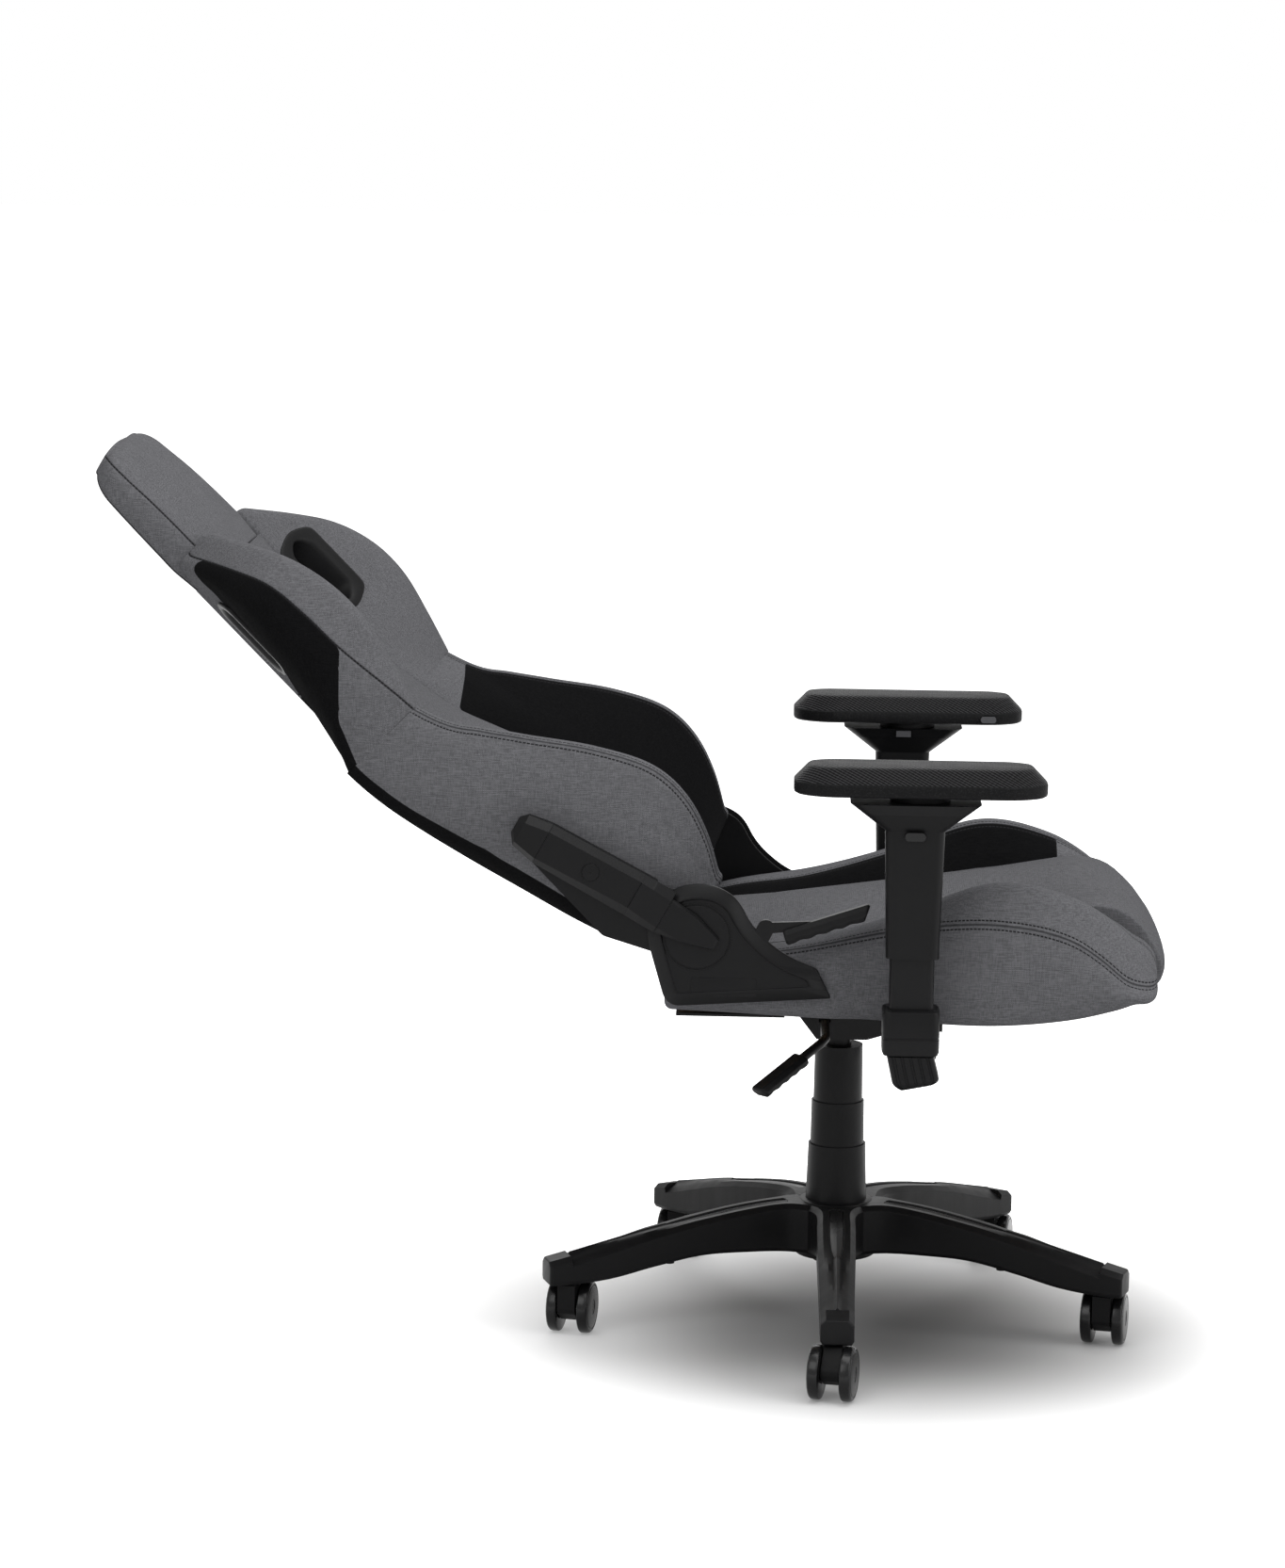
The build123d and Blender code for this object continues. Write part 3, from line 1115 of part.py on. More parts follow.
def arm_post():
    """Outer post with its flared head, hollow for the inner tube, pocketed for the trigger."""
    body = tapered_bar([
        (ARM_X, -ARM_Y, POST_FOOT_Z, POST_FOOT_L, POST_FOOT_W, 9),
        (ARM_X, -ARM_Y, POST_NECK_Z, POST_NECK_L, POST_NECK_W, 9),
    ])
    body += tapered_bar([
        (ARM_X, -ARM_Y, POST_NECK_Z, POST_NECK_L, POST_NECK_W, 9),
        (ARM_X, -ARM_Y, POST_TOP_Z, HEAD_TOP_L, HEAD_TOP_W, 14),
    ])
    bore_h = POST_NECK_Z - POST_FOOT_Z
    bore_l = TUBE_L + 2 * SLIDE
    bore_w = TUBE_W + 2 * SLIDE
    body -= rounded_bar(ARM_X, -ARM_Y, bore_l, bore_w, POST_FOOT_Z, bore_h, 6)
    room = RectangleRounded(TRIGGER_L + 2 * SLIDE, TRIGGER_H + 2 * SLIDE, TRIGGER_H / 2)
    return body - side_plate(trigger_place() * room, trigger_face() - trigger_depth(), 40.0)


def trigger_place():
    """Centre of the height trigger on the post's outer face."""
    return Pos(ARM_X, POST_NECK_Z - TRIGGER_DROP)


def trigger_face():
    """Distance of the post's outer face from the middle of the chair, beside the trigger."""
    return ARM_Y + POST_NECK_W / 2


def trigger_depth():
    """How far the trigger's pocket goes into the post."""
    return TRIGGER_TRAVEL + 2.0


def arm_trigger():
    """Oval height trigger that presses into the post."""
    face = RectangleRounded(TRIGGER_L, TRIGGER_H, TRIGGER_H / 2 - 0.1)
    inner = trigger_face() - trigger_depth() + TRIGGER_TRAVEL + SLIDE
    return side_plate(trigger_place() * face, inner, trigger_face() + TRIGGER_OUT - inner)


def arm_plate():
    """Plate between post and pad, with a pocket for its release button on the inner side."""
    low_l = PLATE_UNDER_L - 2 * PLATE_UNDER_TAPER
    body = tapered_bar([
        (ARM_X, -ARM_Y, ARM_PLATE_Z, low_l, PLATE_UNDER_W - 8, 14),
        (ARM_X, -ARM_Y, ARM_PLATE_Z + PLATE_UNDER_H, PLATE_UNDER_L, PLATE_UNDER_W, 16),
    ])
    return body - plate_button_block(SLIDE, RELEASE_TRAVEL + SLIDE)


def plate_button_block(grow, deeper):
    """Release button of the plate as a block, grown and deepened for its pocket."""
    inner_face = ARM_Y - PLATE_UNDER_W / 2
    z = ARM_PLATE_Z + PLATE_UNDER_H / 2
    low = (ARM_X - RELEASE_L / 2 - grow, -inner_face - 8.0 - deeper, z - RELEASE_H / 2 - grow)
    high = (ARM_X + RELEASE_L / 2 + grow, -inner_face + RELEASE_OUT, z + RELEASE_H / 2 + grow)
    return box_between(low, high)


def arm_turntable():
    """Round turntable between plate and pad."""
    return Pos(PAD_X, -PAD_Y, TURN_Z) * extrude(Circle(TURN_R), TURN_H)


def pad_face(length, width, corner):
    """Plan of the pad: a rectangle with cut and softened corners."""
    a = length / 2
    b = width / 2
    cut = corner * 0.7
    points = [(a - corner, -b), (a, -b + cut), (a, b - cut), (a - corner, b)]
    points += [(corner - a, b), (-a, b - cut), (-a, cut - b), (corner - a, -b)]
    return profile(points, [corner * 0.6] * len(points))


def arm_pad():
    """Armrest pad: upright rim, bevelled sides, flat top."""
    rim = Pos(PAD_X, -PAD_Y, PAD_Z) * extrude(pad_face(PAD_LENGTH, PAD_W, PAD_CORNER), PAD_RIM_H)
    low = Pos(PAD_X, -PAD_Y, PAD_Z + PAD_RIM_H) * pad_face(PAD_LENGTH, PAD_W, PAD_CORNER)
    top_l = PAD_LENGTH - 2 * PAD_BEVEL
    top_w = PAD_W - 2 * PAD_BEVEL
    top_z = PAD_Z + PAD_RIM_H + PAD_BEVEL_H
    top = Pos(PAD_X, -PAD_Y, top_z) * pad_face(top_l, top_w, PAD_CORNER - PAD_BEVEL / 2)
    pad = rim + loft([low, top], ruled=True)
    return pad - pad_button_block(SLIDE, RELEASE_TRAVEL + SLIDE)


def pad_button_block(grow, deeper):
    """Release button of the pad as an oval block, grown and deepened for its pocket."""
    x = PAD_X + PAD_BUTTON_X
    z = PAD_Z + PAD_RIM_H / 2
    inner_face = PAD_Y - PAD_W / 2
    height = RELEASE_H + 2 * grow
    face = RectangleRounded(PAD_BUTTON_L + 2 * grow, height, height / 2 - 0.1)
    start = inner_face - RELEASE_OUT
    return side_plate(Pos(x, z) * face, start, RELEASE_OUT + 6.0 + deeper)


def build_arms():
    keep("arm_brackets", both_sides(arm_bar()))
    collar = arm_collar()
    foot = arm_foot()
    keep("arm_collars", Compound(children=[both_sides(collar), both_sides(foot)]))
    keep("arm_inner_tubes", both_sides(arm_inner_tube()))
    pieces = {
        "post": arm_post(),
        "trigger": arm_trigger(),
        "plate": arm_plate(),
        "plate_button": plate_button_block(0.0, 0.0),
        "turntable": arm_turntable(),
        "pad": arm_pad(),
        "pad_button": pad_button_block(0.0, 0.0),
    }
    for name, shape in pieces.items():
        keep(f"arm_{name}_right", shape)
        keep(f"arm_{name}_left", mirror(shape, about=Plane.XZ))


build_base()
build_column()
build_mechanism()
build_seat()
build_hinge()
build_back()
build_arms()

os.makedirs("parts", exist_ok=True)
for node, shape in PARTS.items():
    export_step(shape, f"parts/{node}.step")
print(len(PARTS), "nodes")
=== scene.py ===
import json
import math

import bmesh
import bpy
import numpy as np
from mathutils import Matrix


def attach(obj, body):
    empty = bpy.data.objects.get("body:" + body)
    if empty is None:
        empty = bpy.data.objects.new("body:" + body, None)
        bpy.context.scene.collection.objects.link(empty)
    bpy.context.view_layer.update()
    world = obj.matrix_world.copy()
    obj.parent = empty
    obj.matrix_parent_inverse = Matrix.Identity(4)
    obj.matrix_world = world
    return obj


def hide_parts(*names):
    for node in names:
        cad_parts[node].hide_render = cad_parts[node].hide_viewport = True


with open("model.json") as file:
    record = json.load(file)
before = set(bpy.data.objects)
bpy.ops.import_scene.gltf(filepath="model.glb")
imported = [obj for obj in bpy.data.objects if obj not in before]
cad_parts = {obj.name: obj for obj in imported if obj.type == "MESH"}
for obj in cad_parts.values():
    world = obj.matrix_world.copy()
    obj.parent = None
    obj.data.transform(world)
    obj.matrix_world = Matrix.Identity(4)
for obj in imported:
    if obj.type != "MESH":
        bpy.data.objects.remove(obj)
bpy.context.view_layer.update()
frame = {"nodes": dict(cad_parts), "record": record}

bl_info = {
    "name": "Gaming Chair",
    "version": (1, 0, 0),
    "blender": (4, 5, 0),
    "location": "View3D > Sidebar > Chair",
    "description": "Upholstery, trim and finishes for a reclining gaming chair",
    "category": "Add Mesh",
}

MM = 0.001
SIDES = (("right", -1.0), ("left", 1.0))
END_SHARES = (0.7, 0.35, 0.03)
END_STEPS = 4
END_ROWS = END_STEPS + len(END_SHARES)
CORNER_SHARE = 0.46
CLOTH_FRAMES = 20
CLOTH_STIFFNESS = 12.0
CLOTH_BENDING = 1.2
CLOTH_QUALITY = 5
SEAM_HOLD = 0.0035


# Settings a user would change


class ChairSizes(bpy.types.PropertyGroup):
    """Sizes of the cloth and its sewing."""

    swell: bpy.props.FloatProperty(
        name="Swell", description="Most that a sewn panel may rise under its filling",
        default=0.007, min=0.0, max=0.03, unit="LENGTH")
    pressure: bpy.props.FloatProperty(
        name="Pressure", description="Filling pressure of the padded panels", default=4.0, min=0.0, max=20.0)
    stitch: bpy.props.FloatProperty(
        name="Stitch", description="Length of one stitch and its gap", default=0.0042, unit="LENGTH")
    seam_offset: bpy.props.FloatProperty(
        name="Seam offset", description="Distance of each row of stitches from its seam",
        default=0.0048, unit="LENGTH")
    yarn: bpy.props.FloatProperty(
        name="Yarn", description="Width of one yarn of the woven cloth", default=0.0011, unit="LENGTH")


class ChairColours(bpy.types.PropertyGroup):
    """Colours of the chair's finishes."""

    grey_cloth: bpy.props.FloatVectorProperty(
        name="Grey cloth", description="Heathered cloth of the panels", subtype="COLOR",
        default=(0.098, 0.098, 0.104), min=0.0, max=1.0)
    black_cloth: bpy.props.FloatVectorProperty(
        name="Black cloth", description="Smooth cloth of the inner faces", subtype="COLOR",
        default=(0.0055, 0.0055, 0.0058), min=0.0, max=1.0)
    nylon: bpy.props.FloatVectorProperty(
        name="Nylon", description="Moulded black nylon", subtype="COLOR",
        default=(0.0046, 0.0046, 0.0049), min=0.0, max=1.0)
    pad: bpy.props.FloatVectorProperty(
        name="Armrest pad", description="Soft skin of the armrest pads", subtype="COLOR",
        default=(0.0085, 0.0085, 0.0089), min=0.0, max=1.0)
    steel: bpy.props.FloatVectorProperty(
        name="Bright steel", description="Bare steel of pins and rods", subtype="COLOR",
        default=(0.55, 0.55, 0.57), min=0.0, max=1.0)
    plywood: bpy.props.FloatVectorProperty(
        name="Plywood", description="Seat pan", subtype="COLOR",
        default=(0.46, 0.31, 0.18), min=0.0, max=1.0)


def sizes():
    """Sewing sizes of the scene."""
    return bpy.context.scene.chair_sizes


def colours():
    """Finish colours of the scene."""
    return bpy.context.scene.chair_colours


# Curves and surfaces


def smooth(at, known, values):
    """Values between known stations on a smooth curve: cubic pieces whose slope at a station is the
    mean of the slopes on its two sides."""
    known = np.asarray(known, float)
    values = np.asarray(values, float)
    step = np.diff(known)
    slope = np.diff(values, axis=0) / step.reshape((-1,) + (1,) * (values.ndim - 1))
    tangent = np.concatenate([slope[:1], (slope[:-1] + slope[1:]) / 2, slope[-1:]])
    at = np.asarray(at, float)
    cell = np.clip(np.searchsorted(known, at) - 1, 0, len(known) - 2)
    shape = (-1,) + (1,) * (values.ndim - 1)
    h = step[cell].reshape(shape)
    t = ((at - known[cell]) / step[cell]).reshape(shape)
    rise = values[cell] * (2 * t**3 - 3 * t**2 + 1) + values[cell + 1] * (3 * t**2 - 2 * t**3)
    lean = tangent[cell] * (t**3 - 2 * t**2 + t) + tangent[cell + 1] * (t**3 - t**2)
    return rise + h * lean


def rounded_rings(corners, radii, turn=5, run=10):
    """Closed outlines from corner points: each corner is a parabola that leaves its two sides at the
    corner's radius, and each side is a straight row of points between two such curves."""
    before = np.roll(corners, 1, axis=1) - corners
    after = np.roll(corners, -1, axis=1) - corners
    length_before = np.linalg.norm(before, axis=2, keepdims=True)
    length_after = np.linalg.norm(after, axis=2, keepdims=True)
    radii = np.asarray(radii, float).reshape(1, -1, 1)
    start = corners + before * np.minimum(radii / length_before, CORNER_SHARE)
    end = corners + after * np.minimum(radii / length_after, CORNER_SHARE)
    t = np.linspace(0, 1, turn).reshape(1, 1, -1, 1)
    bend = start[:, :, None] * (1 - t) ** 2 + 2 * corners[:, :, None] * t * (1 - t) + end[:, :, None] * t**2
    u = np.linspace(0, 1, run + 2)[1:-1].reshape(1, 1, -1, 1)
    side = end[:, :, None] * (1 - u) + np.roll(start, -1, axis=1)[:, :, None] * u
    both = np.concatenate([bend, side], axis=2)
    return both.reshape(corners.shape[0], -1, corners.shape[2])


def ended(rings, depths, softening):
    """Rings closed at both ends: each end draws in by its softening on a quarter of an ellipse of its
    depth, and then closes flat to its middle."""
    angle = np.linspace(0, np.pi / 2, END_STEPS + 1)[1:].reshape(-1, 1, 1)
    flat = np.array(END_SHARES).reshape(-1, 1, 1)

    def end(ring, next_ring, depth, soften):
        ahead = (ring - next_ring).mean(axis=0)
        ahead /= np.linalg.norm(ahead)
        middle = ring.mean(axis=0)
        reach = np.linalg.norm(ring - middle, axis=1)[:, None]
        share = np.maximum(1 - soften * (1 - np.cos(angle)) / reach, 0.1)
        curved = middle + (ring - middle) * share + ahead * depth * np.sin(angle)
        tip = curved[-1].mean(axis=0)
        return np.concatenate([curved, tip + (curved[-1] - tip) * flat])

    first = end(rings[0], rings[1], depths[0], softening[0])
    last = end(rings[-1], rings[-2], depths[1], softening[1])
    return np.concatenate([first[::-1], rings, last])


def quads(rows, columns, wrap):
    """Four-cornered faces of a grid, closed round its columns where asked."""
    r = np.arange(rows - 1)[:, None]
    c = np.arange(columns if wrap else columns - 1)[None, :]
    n = (c + 1) % columns
    here = r * columns + c
    faces = np.stack([here, r * columns + n, (r + 1) * columns + n, (r + 1) * columns + c], axis=2)
    return faces.reshape(-1, 4)


def outward(obj):
    """Turn a closed mesh's faces so that its signed volume is positive."""
    mesh = obj.data
    mesh.calc_loop_triangles()
    points = np.empty(len(mesh.vertices) * 3)
    mesh.vertices.foreach_get("co", points)
    points = points.reshape(-1, 3)
    triangles = np.empty(len(mesh.loop_triangles) * 3, int)
    mesh.loop_triangles.foreach_get("vertices", triangles)
    a, b, c = (points[triangles.reshape(-1, 3)[:, k]] for k in range(3))
    if np.einsum("ij,ij->i", a, np.cross(b, c)).sum() < 0:
        mesh.flip_normals()
    return obj


def surface(name, points, faces, soft=True):
    """New object from points in metres and faces, smooth shaded where asked."""
    mesh = bpy.data.meshes.new(name)
    mesh.from_pydata(np.asarray(points, float).reshape(-1, 3), [], [tuple(f) for f in faces])
    mesh.update()
    obj = bpy.data.objects.new(name, mesh)
    bpy.context.scene.collection.objects.link(obj)
    mesh.polygons.foreach_set("use_smooth", np.full(len(mesh.polygons), soft))
    return outward(obj)


def tube(name, rings, soft=True):
    """Closed skin through rings of points in millimetres, each end closed by one face."""
    rows, columns = rings.shape[:2]
    faces = [tuple(f) for f in quads(rows, columns, True)]
    faces.append(tuple(range(columns - 1, -1, -1)))
    faces.append(tuple(range((rows - 1) * columns, rows * columns)))
    return surface(name, rings.reshape(-1, 3) * MM, faces, soft)


def give(obj, name, values):
    """Store one number per vertex on the mesh."""
    layer = obj.data.attributes.new(name, "FLOAT", "POINT")
    layer.data.foreach_set("value", np.asarray(values, np.float32).ravel())


def around(rings):
    """Distance of each point round its ring from the ring's first point, and each ring's whole length."""
    step = np.linalg.norm(np.roll(rings, -1, axis=1) - rings, axis=2)
    sums = np.concatenate([np.zeros((len(rings), 1)), np.cumsum(step, axis=1)], axis=1)
    return sums[:, :-1], sums[:, -1:]


def between(rings, first, last, spread=0.0):
    """Signed distance inside the columns from first to last, let out by a spread at the last one."""
    place = around(rings)[0]
    low = place - place[:, first:first + 1]
    high = place[:, last:last + 1] + spread - place
    return np.minimum(low, high)


def sewn(obj, rings, seams, dark=None):
    """Store a skin's sewing marks in metres: distance to the nearest seam column, run along the skin,
    and a signed distance that is positive inside the black cloth."""
    place, whole = around(rings)
    distance = np.full(place.shape, 1e3)
    for column_of_seam in seams:
        gap = np.abs(place - place[:, column_of_seam:column_of_seam + 1])
        distance = np.minimum(distance, np.minimum(gap, whole - gap))
    middle = rings.mean(axis=1)
    along = np.concatenate([[0], np.cumsum(np.linalg.norm(np.diff(middle, axis=0), axis=1))])
    give(obj, "seam", distance * MM)
    give(obj, "run", np.repeat(along[:, None], rings.shape[1], axis=1) * MM)
    give(obj, "dark", np.full(place.shape, -1.0) if dark is None else dark * MM)
    return distance.ravel() * MM


def plump(obj, hold, cap):
    """Swell a closed skin under its filling: cloth under pressure, held where the seams are, with no
    point further than the cap from where it was cut."""
    mesh = obj.data
    rest = np.empty(len(mesh.vertices) * 3)
    mesh.vertices.foreach_get("co", rest)
    group = obj.vertex_groups.new(name="held")
    group.add([int(i) for i in np.nonzero(hold)[0]], 1.0, "REPLACE")
    cloth = obj.modifiers.new("Filling", "CLOTH")
    cloth.settings.use_pressure = True
    cloth.settings.uniform_pressure_force = sizes().pressure
    cloth.settings.vertex_group_mass = "held"
    cloth.settings.tension_stiffness = CLOTH_STIFFNESS
    cloth.settings.compression_stiffness = CLOTH_STIFFNESS
    cloth.settings.bending_stiffness = CLOTH_BENDING
    cloth.settings.quality = CLOTH_QUALITY
    cloth.settings.effector_weights.gravity = 0.0
    cloth.collision_settings.use_collision = False
    scene = bpy.context.scene
    for frame_number in range(1, CLOTH_FRAMES + 1):
        scene.frame_set(frame_number)
    graph = bpy.context.evaluated_depsgraph_get()
    moved = np.empty(len(rest))
    obj.evaluated_get(graph).data.vertices.foreach_get("co", moved)
    obj.modifiers.clear()
    obj.vertex_groups.clear()
    scene.frame_set(1)
    shift = (moved - rest).reshape(-1, 3)
    size = np.linalg.norm(shift, axis=1, keepdims=True)
    shift *= np.tanh(size / cap) * cap / np.maximum(size, 1e-9)
    mesh.vertices.foreach_set("co", (rest.reshape(-1, 3) + shift).ravel())
    mesh.update()
    return obj


def finer(obj):
    """One live subdivision, the same in view and render."""
    fine = obj.modifiers.new("Finer", "SUBSURF")
    fine.levels = 1
    fine.render_levels = 1
    return obj


def dressed(obj, material, body, nodes=()):
    """Give a piece its material, its body and the nodes that it stands for."""
    obj.data.materials.clear()
    obj.data.materials.append(bpy.data.materials[material])
    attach(obj, body)
    if nodes:
        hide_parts(*nodes)
    return obj


# Backrest line


BACK_FOOT = np.array([-206.0, 452.0])
BACK_LOW = math.radians(29.1)
BACK_UP = math.radians(45.5)
BACK_LOW_LENGTH = 290.0
BACK_BEND = 100.0


def on_back(s, b):
    """X and Z of points b in front of the back's rear line at distance s: straight, arc, straight."""
    s = np.asarray(s, float)
    radius = BACK_BEND / (BACK_UP - BACK_LOW)
    angle = BACK_LOW + np.clip(s - BACK_LOW_LENGTH, 0, BACK_BEND) / radius
    low = np.minimum(s, BACK_LOW_LENGTH)
    up = np.maximum(s - BACK_LOW_LENGTH - BACK_BEND, 0)
    run = low * math.cos(BACK_LOW) + radius * (np.sin(angle) - math.sin(BACK_LOW)) + up * np.cos(angle)
    rise = low * math.sin(BACK_LOW) - radius * (np.cos(angle) - math.cos(BACK_LOW)) + up * np.sin(angle)
    x = BACK_FOOT[0] - run + b * np.sin(angle)
    z = BACK_FOOT[1] + rise + b * np.cos(angle)
    return x, z


def back_rings(s, sections, side):
    """Rings in space from sections of a (outwards) and b (forwards) at stations s of the back."""
    x, z = on_back(s[:, None], sections[:, :, 1])
    return np.stack([x, side * sections[:, :, 0], z], axis=2)


def seat_rings(x, sections, side):
    """Rings in space from sections of y (outwards) and height at stations x of the seat."""
    deep = np.repeat(x[:, None], sections.shape[1], axis=1)
    return np.stack([deep, side * sections[:, :, 0], sections[:, :, 1]], axis=2)


# Shader node groups


def new_group(name, inputs, outputs):
    """Empty shader group with named sockets; returns it with its input and output nodes."""
    group = bpy.data.node_groups.new(name, "ShaderNodeTree")
    for label, kind, value in inputs:
        socket = group.interface.new_socket(name=label, in_out="INPUT", socket_type=kind)
        socket.default_value = value
    for label, kind in outputs:
        group.interface.new_socket(name=label, in_out="OUTPUT", socket_type=kind)
    return group, group.nodes.new("NodeGroupInput"), group.nodes.new("NodeGroupOutput")


def wire(tree, source, target):
    """Join two sockets."""
    tree.links.new(source, target)


def maths(tree, operation, a, b=None):
    """Math node on two sockets or numbers; returns its value socket."""
    node = tree.nodes.new("ShaderNodeMath")
    node.operation = operation
    for socket, given in ((node.inputs[0], a), (node.inputs[1], b)):
        if given is None:
            continue
        if isinstance(given, bpy.types.NodeSocket):
            wire(tree, given, socket)
        else:
            socket.default_value = given
    return node.outputs[0]


def ramp(tree, value, low, high, to_low=0.0, to_high=1.0):
    """Smooth step of a value between two limits."""
    node = tree.nodes.new("ShaderNodeMapRange")
    node.interpolation_type = "SMOOTHSTEP"
    wire(tree, value, node.inputs["Value"])
    for label, given in (("From Min", low), ("From Max", high), ("To Min", to_low), ("To Max", to_high)):
        if isinstance(given, bpy.types.NodeSocket):
            wire(tree, given, node.inputs[label])
        else:
            node.inputs[label].default_value = given
    return node.outputs["Result"]


def noise(tree, vector, scale, detail=3.0, rough=0.55):
    """Noise value at a scale per metre."""
    node = tree.nodes.new("ShaderNodeTexNoise")
    wire(tree, vector, node.inputs["Vector"])
    if isinstance(scale, bpy.types.NodeSocket):
        wire(tree, scale, node.inputs["Scale"])
    else:
        node.inputs["Scale"].default_value = scale
    node.inputs["Detail"].default_value = detail
    node.inputs["Roughness"].default_value = rough
    return node.outputs[0]


def stretched(tree, vector, scale):
    """Vector scaled along its three axes."""
    node = tree.nodes.new("ShaderNodeMapping")
    wire(tree, vector, node.inputs["Vector"])
    node.inputs["Scale"].default_value = scale
    return node.outputs["Vector"]


def mixed(tree, share, a, b):
    """Colour between two colours or sockets."""
    node = tree.nodes.new("ShaderNodeMix")
    node.data_type = "RGBA"
    for socket, given in ((node.inputs[0], share), (node.inputs[6], a), (node.inputs[7], b)):
        if isinstance(given, bpy.types.NodeSocket):
            wire(tree, given, socket)
        elif isinstance(given, (int, float)):
            socket.default_value = given
        else:
            socket.default_value = (*given, 1.0)
    return node.outputs[2]


def heather_group():
    """Woven heathered cloth: yarn crossings from two crossed waves, slub streaks along each yarn
    direction from stretched noise, and a slow cloudy tone."""
    group, given, put = new_group(
        "Heathered Weave",
        [("Vector", "NodeSocketVector", (0, 0, 0)), ("Yarn", "NodeSocketFloat", 0.0011)],
        [("Tone", "NodeSocketFloat"), ("Height", "NodeSocketFloat")])
    vector = given.outputs["Vector"]
    rate = maths(group, "DIVIDE", math.pi, given.outputs["Yarn"])
    split = group.nodes.new("ShaderNodeSeparateXYZ")
    wire(group, vector, split.inputs[0])
    warp = maths(group, "SINE", maths(group, "MULTIPLY", split.outputs[0], rate))
    weft = maths(group, "SINE", maths(group, "MULTIPLY", split.outputs[2], rate))
    side = maths(group, "SINE", maths(group, "MULTIPLY", split.outputs[1], rate))
    crossing = maths(group, "MULTIPLY", maths(group, "ADD", warp, side), weft)
    streak_x = noise(group, stretched(group, vector, (95.0, 640.0, 1400.0)), 1.0, 2.0, 0.6)
    streak_z = noise(group, stretched(group, vector, (1400.0, 640.0, 95.0)), 1.0, 2.0, 0.6)
    cloud = noise(group, vector, 26.0, 2.0)
    slub = maths(group, "ADD", maths(group, "MULTIPLY", streak_x, 0.55),
                 maths(group, "MULTIPLY", streak_z, 0.45))
    tone = maths(group, "ADD", ramp(group, slub, 0.36, 0.64, 0.0, 0.8), maths(group, "MULTIPLY", cloud, 0.2))
    tone = maths(group, "ADD", tone, maths(group, "MULTIPLY", crossing, 0.06))
    wire(group, tone, put.inputs["Tone"])
    height = maths(group, "ADD", maths(group, "MULTIPLY", crossing, 0.35),
                   maths(group, "MULTIPLY", slub, 0.9))
    wire(group, height, put.inputs["Height"])


def stitch_group():
    """Sewing read from a skin's marks: a groove at the seam and two rows of dashes beside it."""
    group, given, put = new_group(
        "Seam And Stitches",
        [("Distance", "NodeSocketFloat", 1.0), ("Run", "NodeSocketFloat", 0.0),
         ("Offset", "NodeSocketFloat", 0.0048), ("Stitch", "NodeSocketFloat", 0.0042)],
        [("Seam", "NodeSocketFloat"), ("Thread", "NodeSocketFloat"), ("Height", "NodeSocketFloat")])
    distance = given.outputs["Distance"]
    seam = ramp(group, distance, 0.0004, 0.0018, 1.0, 0.0)
    away = maths(group, "ABSOLUTE", maths(group, "SUBTRACT", distance, given.outputs["Offset"]))
    line = ramp(group, away, 0.0006, 0.0012, 1.0, 0.0)
    phase = maths(group, "FRACT", maths(group, "DIVIDE", given.outputs["Run"], given.outputs["Stitch"]))
    dash = maths(group, "GREATER_THAN", phase, 0.26)
    thread = maths(group, "MULTIPLY", line, dash)
    pull = ramp(group, away, 0.0008, 0.0034, 1.0, 0.0)
    wire(group, seam, put.inputs["Seam"])
    wire(group, thread, put.inputs["Thread"])
    height = maths(group, "SUBTRACT", maths(group, "MULTIPLY", thread, 0.35),
                   maths(group, "MULTIPLY", pull, 0.5))
    height = maths(group, "SUBTRACT", height, maths(group, "MULTIPLY", seam, 1.0))
    wire(group, height, put.inputs["Height"])


def moulded_group():
    """Moulded skin: fine spark-eroded grain, slow tone drift and light dust on what faces up."""
    group, given, put = new_group(
        "Moulded Grain",
        [("Vector", "NodeSocketVector", (0, 0, 0)), ("Grain", "NodeSocketFloat", 1400.0)],
        [("Tone", "NodeSocketFloat"), ("Rough", "NodeSocketFloat"), ("Height", "NodeSocketFloat")])
    vector = given.outputs["Vector"]
    fine = noise(group, vector, given.outputs["Grain"], 2.0, 0.6)
    slow = noise(group, vector, 18.0, 3.0, 0.6)
    smear = noise(group, stretched(group, vector, (30.0, 90.0, 14.0)), 1.0, 4.0, 0.7)
    geometry = group.nodes.new("ShaderNodeNewGeometry")
    up = group.nodes.new("ShaderNodeSeparateXYZ")
    wire(group, geometry.outputs["Normal"], up.inputs[0])
    dust = maths(group, "MULTIPLY", ramp(group, up.outputs[2], 0.4, 1.0), ramp(group, smear, 0.35, 0.8))
    tone = maths(group, "ADD", maths(group, "MULTIPLY", slow, 0.5), maths(group, "MULTIPLY", dust, 0.5))
    wire(group, tone, put.inputs["Tone"])
    rough = maths(group, "ADD", maths(group, "MULTIPLY", smear, 0.7), maths(group, "MULTIPLY", fine, 0.3))
    wire(group, rough, put.inputs["Rough"])
    wire(group, fine, put.inputs["Height"])


